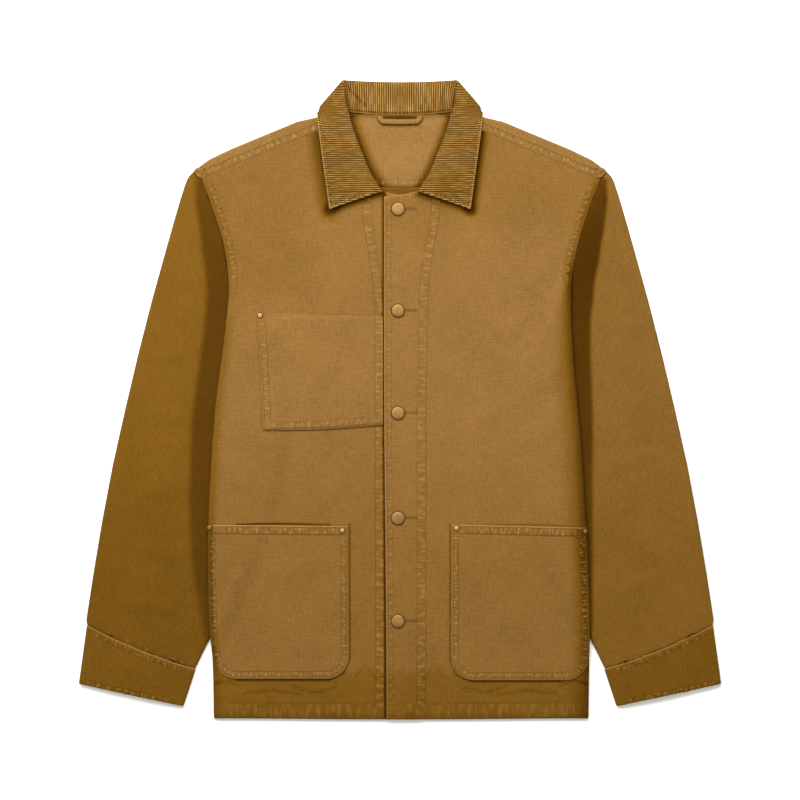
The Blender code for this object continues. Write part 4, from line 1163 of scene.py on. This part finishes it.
# ----------------------------------------
# Hanger loop. A narrow strip of duck, folded and stitched, whose ends turn up into the neck seam.
LOOP_LINE = (
    (-24.6, 348), (-24.4, 344.6), (-20.6, 341.6), (0, 341), (20.6, 341.6), (24.4, 344.6), (24.6, 348),
)
middle_line = along_line(LOOP_LINE, np.linspace(0, 1, 60))
run = np.gradient(middle_line, axis=0)
run /= np.linalg.norm(run, axis=1, keepdims=True)
out = np.stack([-run[:, 1], run[:, 0]], axis=1)
shares = np.linspace(-1, 1, 9)[:, None]
plan = middle_line + out * shares[..., None] * 3.7
lift = 1.5 * np.sqrt(1 - shares**2) - 0.3 * bell(abs(shares), 0.62, 0.14)
points = lifted(plan, 4.8 + lift * np.ones((1, 60)))
# paler along its middle and darker towards its rounded edges in painted shade
wear_and_painted_shade = 0.25 - 0.9 * abs(shares) ** 3 * np.ones((1, 60))
loop = cloth("Hanger_loop", points, canvas, wall=0.9, wear_and_painted_shade=wear_and_painted_shade)
tell(loop, "hanger_loop")

# ----------------------------------------
# Patch pockets. Three pieces of duck with their edges folded under, stitched on with two rows. The
# lower two have a hemmed mouth and round corners, and wrap on to the side of the jacket.

# name, side, x of the inner edge at the top and bottom, y of the top at its inner and outer end and
# y of the bottom
LOWER_POCKETS = (
    ("right", -1, 63.4, 62.6, -154.4, -152.6, -341.8),
    ("left", 1, 63, 62.4, -152.4, -156, -343.4),
)
POCKET_CORNER = 28
POCKET_CREASES = {
    1: (
        (90, -180, 180, -250, 8, 0.5, 12),
        (200, -190, 120, -310, -10, 0.6, 13),
        (80, -300, 160, -326, 5, 0.5, 9),
    ),
    -1: (
        (-84, -200, -190, -230, -8, 0.5, 12),
        (-210, -200, -120, -320, 12, 0.6, 14),
        (-90, -290, -170, -316, 6, 0.4, 9),
    ),
}
pockets, pocket_rims = {}, {}
for name, side, inner_top, inner_bottom, y_inner, y_outer, y_bottom in LOWER_POCKETS:
    form = form_of(f"pocket_{name}")
    corner = [
        (POCKET_CORNER * (1 - math.sin(a)), POCKET_CORNER * (1 - math.cos(a)))
        for a in np.linspace(0, math.pi / 2, 16)
    ]
    left = [(inner_top + (y_inner - y) / (y_inner - y_bottom) * (inner_bottom - inner_top), y)
            for y in np.linspace(y_inner, y_bottom + POCKET_CORNER, 12)]
    left += [(inner_bottom + dx, y_bottom + dy) for dx, dy in corner[::-1]][1:8]
    bottom = [(inner_bottom + dx, y_bottom + dy) for dx, dy in corner[::-1]][7:]
    right = [(side_at(side, y) - 0.6, y) for y in np.linspace(y_outer, y_bottom + POCKET_CORNER, 24)]
    out_bottom = side_at(side, y_bottom + 8) - 0.6
    right += [(out_bottom - dx, y_bottom + dy) for dx, dy in corner[::-1]][1:8]
    bottom += [(out_bottom - dx, y_bottom + dy) for dx, dy in corner][:9]
    top = [(inner_top, y_inner), (side_at(side, y_outer) - 0.6, y_outer)]
    left, right, bottom, top = (np.array(line) * (side, 1) for line in (left, right, bottom, top))
    rim = np.concatenate([left, bottom[1:], right[::-1][1:]])
    across = spaced(166, 11, 11, 1.1, 2.6)
    up = spaced(190, 11, 14, 1.1, 2.6)
    plan = patch(bottom, top, left[::-1], right[::-1], across, up)
    height = eased(height_of(form, plan), 3)
    height = np.minimum(height, height_of(form, plan) + 0.4)
    _, off, _ = beside(plan, rim)
    _, from_top, _ = beside(plan, top)
    off, from_top = abs(off), abs(from_top)
    swell, sewn = sewn_bands(
        plan,
        ((rim[::side], 2.6, 9, 6.5, 0.4, 151 + side, 0.65),
         (top[::side], -11.2, -2.4, 6, 0.25, 161 + side, 0.75)),
    )
    groove = -0.3 * bell(off, 2.6, 0.7) - 0.3 * bell(off, 9, 0.8)
    groove -= 0.45 * bell(from_top, 11.6, 0.9)
    groove += 0.3 * smoothstep((11 - from_top) / 2) - 0.5 * smoothstep(1 - off / 2.2)
    soft = creased(plan, POCKET_CREASES[side])
    # pale along the top edge and rim, where rubbed, a little darker elsewhere in painted shade, and
    # painted shade where the pocket turns round the side
    wear_and_painted_shade = np.where(from_top < 1.7, 0.45, -0.15) + 0.25 * smoothstep(1 - off / 2)
    past_side = abs(plan[..., 0]) - side_at(side, plan[..., 1])
    if side > 0:
        wear_and_painted_shade -= (0.5 + 0.24 * smoothstep((plan[..., 1] + 300) / 140)) * smoothstep((past_side + 27) / 24)
    else:
        wear_and_painted_shade -= 0.6 * smoothstep((past_side + 10) / 7)
    points = lifted(plan, height + swell + groove + soft)
    pockets[side] = cloth(
        f"Pocket_{name}", points, canvas, wall=1.2, wear_and_painted_shade=wear_and_painted_shade, sewn=sewn, turned_over=side < 0
    )
    pocket_rims[side] = (rim[::side], top)
    tell(pockets[side], f"pocket_{name}")

CHEST = ((-175.8, 107.6), (-20.6, 102), (-20.6, -31), (-167.8, -38))
form = form_of("chest_pocket")
outer_top, inner_top, inner_bottom, outer_bottom = np.array(CHEST)
across, up = spaced(152, 12, 6, 1.1, 2.6), spaced(140, 12, 8, 1.1, 2.6)
bottom_line = np.array([outer_bottom, (-90, -36.4), inner_bottom])
side_line = np.array([outer_top, (-171.4, 40), outer_bottom])
plan = patch(
    bottom_line, (outer_top, inner_top), side_line[::-1], (inner_bottom, inner_top), across, up
)
height = eased(height_of(form, plan), 3)
swell, sewn = sewn_bands(
    plan,
    ((side_line, 3.2, 10.4, 6.2, 0.35, 171, 0.6), (bottom_line, 2.6, 10.4, 7.5, 0.4, 172, 0.65),
     (np.array(FACINGS[-1])[::-1], -10.6, -0.2, 10, 0.4, 90, 0.5)),
)
_, from_side, _ = beside(plan, side_line)
_, from_bottom, _ = beside(plan, bottom_line)
groove = -0.28 * bell(from_side, 2.8, 0.7) - 0.28 * bell(from_side, 10.2, 0.8)
groove -= 0.28 * bell(from_bottom, 2.4, 0.7)
groove -= 1 * smoothstep(1 - np.minimum(abs(from_side), abs(from_bottom)) / 3)
mouth = smoothstep((plan[..., 1] - 98) / 6)
creases = ((-150, 80, -60, 10, 9, 0.6, 13), (-60, 90, -120, -20, -8, 0.5, 12))
soft = creased(plan, creases) - 0.8 * mouth
points = lifted(plan, height + swell + groove + soft)
chest_pocket = cloth("Chest_pocket", points, canvas, wall=1.1, sewn=sewn)
tell(chest_pocket, "chest_pocket")

# ----------------------------------------
# Topstitching. Two-ply brown thread, in rows beside each seam, tight enough to sink into the cloth.
both_sides = [group[side] for group in (fronts, pockets, sleeves, cuffs) for side in (-1, 1)]
body_bed = bed_of(yoke, chest_pocket, *both_sides)
front_rows = []
for side in (-1, 1):
    side_y, side_x = side_lines[side]
    armhole = side_y > 112
    front_rows += [np.stack([side * (side_x - inset), side_y], axis=1)[armhole] for inset in (2.4, 9.8)]
    front_rows += [[(side * x, y + away) for x, y in SHOULDER_SEAM] for away in (1.8, 8.6)]
    front_rows.append(along_line(FACINGS[side], np.linspace(0.02, 0.975, 60)))
    hem_x = np.linspace(-15 if side > 0 else 20, 226, 50)
    front_rows.append(np.stack([side * hem_x, hem_at(hem_x) + 19.5], axis=1))
lap_y = np.linspace(-386, 246, 80)
front_rows.append(np.stack([lap_at(lap_y) + 3.4, lap_y], axis=1))
stitched("Front_stitches", front_rows, body_bed, thread, inset=0.05)

pocket_rows = []
for side in (-1, 1):
    rim, top = pocket_rims[side]
    pocket_rows += [offset_line(rim, 2.6), offset_line(rim, 9), top - (0, 11.6), top - (0, 1.8)]
pocket_rows += [side_line + (2.9, 0), side_line + (10.3, 0), bottom_line + (0, 2.4)]
stitched("Pocket_stitches", pocket_rows, body_bed, thread, inset=0.05)

cuff_rows = []
for side in (-1, 1):
    seam = np.array([(383, -276.6), (318, -307.8), (252.4, -330.2)]) * (side, 1)
    shares = np.linspace(0.02, 0.98, 30)
    bend = along_line(seam, shares)
    bend[:, 1] -= 4 * shares * (1 - shares)
    cuff_rows += [bend + (0, -2.2), bend + (0, -8.4)]
    hem = np.array([(391.6, -345.6), (267.6, -372.4)]) * (side, 1)
    cuff_rows.append(hem + (0, 5.5))
stitched("Cuff_stitches", cuff_rows, body_bed, thread, inset=0.05)

collar_bed = bed_of(collar)
collar_thread = thread_look("Collar thread", (0.36, 0.21, 0.075))
collar_rows = []
for side in (-1, 1):
    edge_in = edge[18 : int(118 / half_length * count) : 6, :2] - (3.6, 0)
    low = np.array([(COLLAR_TIP[0] - 3.4, COLLAR_TIP[1] + 4.6), (26, 257)])
    collar_rows += [edge_in * (side, 1), low * (side, 1)]
collar_stitches = stitched("Collar_stitches", collar_rows, collar_bed, collar_thread, inset=0.1)

# ----------------------------------------
# Buttons and rivets. Turned brass, darkened and stained, and dark round its rims; the rivets that face
# up are of a paler brass. The buttons are tack buttons through the wearer's right front, and stand in
# stitched holes in the left one.
BUTTON_X, BUTTON_YS, BUTTON_RADIUS = -2.5, (234, 109.6, -15.9, -144.6, -270.7), 8.6
# how far each rivet leans, where the pockets bend round the sides
RIVETS = {
    "rivet_chest": 0, "rivet_right_outer": -0.42, "rivet_right_inner": 0, "rivet_left_inner": 0,
    "rivet_left_outer": 0.42,
}
# radii as shares of a button's, and heights
BUTTON_RIM = ((0.8, 0), (0.97, 0.3), (1, 0.8), (0.99, 1.15), (0.96, 1.3), (0.935, 1.2), (0.925, 1.1))
RIVET_PROFILE = (
    (0, 0), (3.5, 0), (3.6, 0.35), (3.35, 0.8), (2.7, 1.15), (2.2, 1.05), (1.9, 1.2), (1.3, 1.42),
    (0, 1.5),
)


def aged_brass(name, bright, dark):
    """Brass with stains, which are darker and smoother."""
    made, nodes, links, inputs = new_look(name, Metallic=1)
    where = nodes.new("ShaderNodeTexCoord")
    stain = noise_on(nodes, links, where.outputs["Object"], 130)
    links.new(ramp(nodes, links, stain, (0.3, dark), (0.7, bright)), inputs["Base Color"])
    rough = nodes.new("ShaderNodeMapRange")
    rough.inputs["To Min"].default_value, rough.inputs["To Max"].default_value = 0.6, 0.7
    links.new(stain, rough.inputs["Value"])
    links.new(rough.outputs["Result"], inputs["Roughness"])
    links.new(bumped(nodes, links, stain, 0.08, 0.0002), inputs["Normal"])
    return made


brass = aged_brass("Antique brass", (0.335, 0.187, 0.068), (0.25, 0.137, 0.046))
pale_brass = aged_brass("Pale brass", (0.52, 0.33, 0.145), (0.4, 0.24, 0.1))
rim_brass = aged_brass("Dark rim brass", (0.1, 0.05, 0.015), (0.055, 0.026, 0.007))


def turned(name, profile, place, tilt, sides, node, bright, metal_look):
    """A brass piece spun from its profile of radii and heights, dark outside its bright radius."""
    metal = bmesh.new()
    corners = [metal.verts.new((radius, 0, height)) for radius, height in profile]
    for a, b in zip(corners, corners[1:]):
        metal.edges.new((a, b))
    bmesh.ops.spin(
        metal, geom=metal.verts[:] + metal.edges[:], axis=(0, 0, 1), cent=(0, 0, 0),
        angle=2 * math.pi, steps=sides, use_merge=True,
    )
    bmesh.ops.remove_doubles(metal, verts=metal.verts, dist=0.001)
    bmesh.ops.recalc_face_normals(metal, faces=metal.faces)
    for face in metal.faces:
        middle = face.calc_center_median()
        face.material_index = int(middle.xy.length > bright or middle.z < 0.3)
    bmesh.ops.rotate(metal, verts=metal.verts, cent=(0, 0, 0), matrix=Matrix.Rotation(tilt, 3, "Y"))
    bmesh.ops.translate(metal, verts=metal.verts, vec=place)
    bmesh.ops.scale(metal, verts=metal.verts, vec=(MM, MM, MM))
    mesh = bpy.data.meshes.new(name)
    metal.to_mesh(mesh)
    metal.free()
    made = shown(name, mesh, metal_look, rim_brass)
    mesh.set_sharp_from_angle(angle=math.radians(50))
    tell(made, node)


button_profile = [(0, 0)] + [(BUTTON_RADIUS * share, height) for share, height in BUTTON_RIM]
for a in np.linspace(0.08, math.pi / 2, 14):
    button_profile.append((0.915 * BUTTON_RADIUS * math.cos(a), 1.15 + 1.2 * math.sin(a)))
for number, y in enumerate(BUTTON_YS, 1):
    place = (BUTTON_X, y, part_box(f"button_{number}")[0][2] / MM)
    bright = BUTTON_RADIUS * 0.9
    turned(f"Button_{number}", button_profile, place, 0, 48, f"button_{number}", bright, brass)
for name, tilt in RIVETS.items():
    x, y, z = [(a + b) / 2 / MM for a, b in zip(*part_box(name))]
    # the rivets that lean at the pockets' sides are of the darker brass, the rest of the paler one
    metal = brass if tilt else pale_brass
    turned(name.capitalize(), RIVET_PROFILE, (x, y, z - 0.75), tilt, 28, name, 2.6, metal)

# Buttonholes. Each is a level slit bound with close stitches, from under its button towards the side.
hole_rows = []
for y in BUTTON_YS:
    level, end = y + 0.4, 19.4
    for offset in (-0.95, 0.95):
        for x in np.arange(BUTTON_X + 4, end, 0.55):
            hole_rows.append([(x, level + offset - 0.75), (x, level + offset + 0.75)])
    at = np.array((end - 0.3, level))
    for turn in np.linspace(-1.2, 1.2, 7):
        way = np.array((math.cos(turn), math.sin(turn)))
        hole_rows.append([at + way * 0.4, at + way * 1.9])
hole_thread = thread_look("Buttonhole thread", (0.11, 0.052, 0.01))
stitched("Buttonholes", hole_rows, body_bed, hole_thread, pitch=1.5, width=0.55)

# ----------------------------------------
# Floor, light and camera. A plain pale floor, soft light from the collar's end, and a camera that
# looks straight down.
floor_mesh = bpy.data.meshes.new("Floor")
sheet = bmesh.new()
bmesh.ops.create_grid(sheet, x_segments=1, y_segments=1, size=4)
bmesh.ops.translate(sheet, vec=(0, 0, -0.0004), verts=sheet.verts)
sheet.to_mesh(floor_mesh)
sheet.free()
pale = new_look("Pale floor", Base_Color=(0.97, 0.97, 0.97, 1), Roughness=0.95)[0]
shown("Floor", floor_mesh, pale)

surround = bpy.data.worlds.new("Soft room")
surround.use_nodes = True
surround.node_tree.nodes["Background"].inputs["Color"].default_value = (1, 0.98, 0.9, 1)
surround.node_tree.nodes["Background"].inputs["Strength"].default_value = 0.745
bpy.context.scene.world = surround

lamp = bpy.data.lights.new("Window at the collar", "AREA")
lamp.shape, lamp.size, lamp.size_y, lamp.energy = "RECTANGLE", 2.4, 1.2, 88
light = bpy.data.objects.new("Window at the collar", lamp)
light.location = (-0.4, 1.35, 1.6)
light.rotation_euler = (Vector((0, 0.1, 0)) - light.location).to_track_quat("-Z", "Y").to_euler()
bpy.context.scene.collection.objects.link(light)

CAMERA_HEIGHT = 3.2
VIEW_WIDTH = 0.98
lens = bpy.data.cameras.new("Overhead")
lens.sensor_width = 36
lens.lens = 36 * (CAMERA_HEIGHT - 0.008) / VIEW_WIDTH
lens.clip_end = 20
camera = bpy.data.objects.new("Overhead", lens)
camera.location = (0, 0, CAMERA_HEIGHT)
bpy.context.scene.collection.objects.link(camera)
bpy.context.scene.camera = camera

bpy.context.scene.view_settings.view_transform = "Standard"
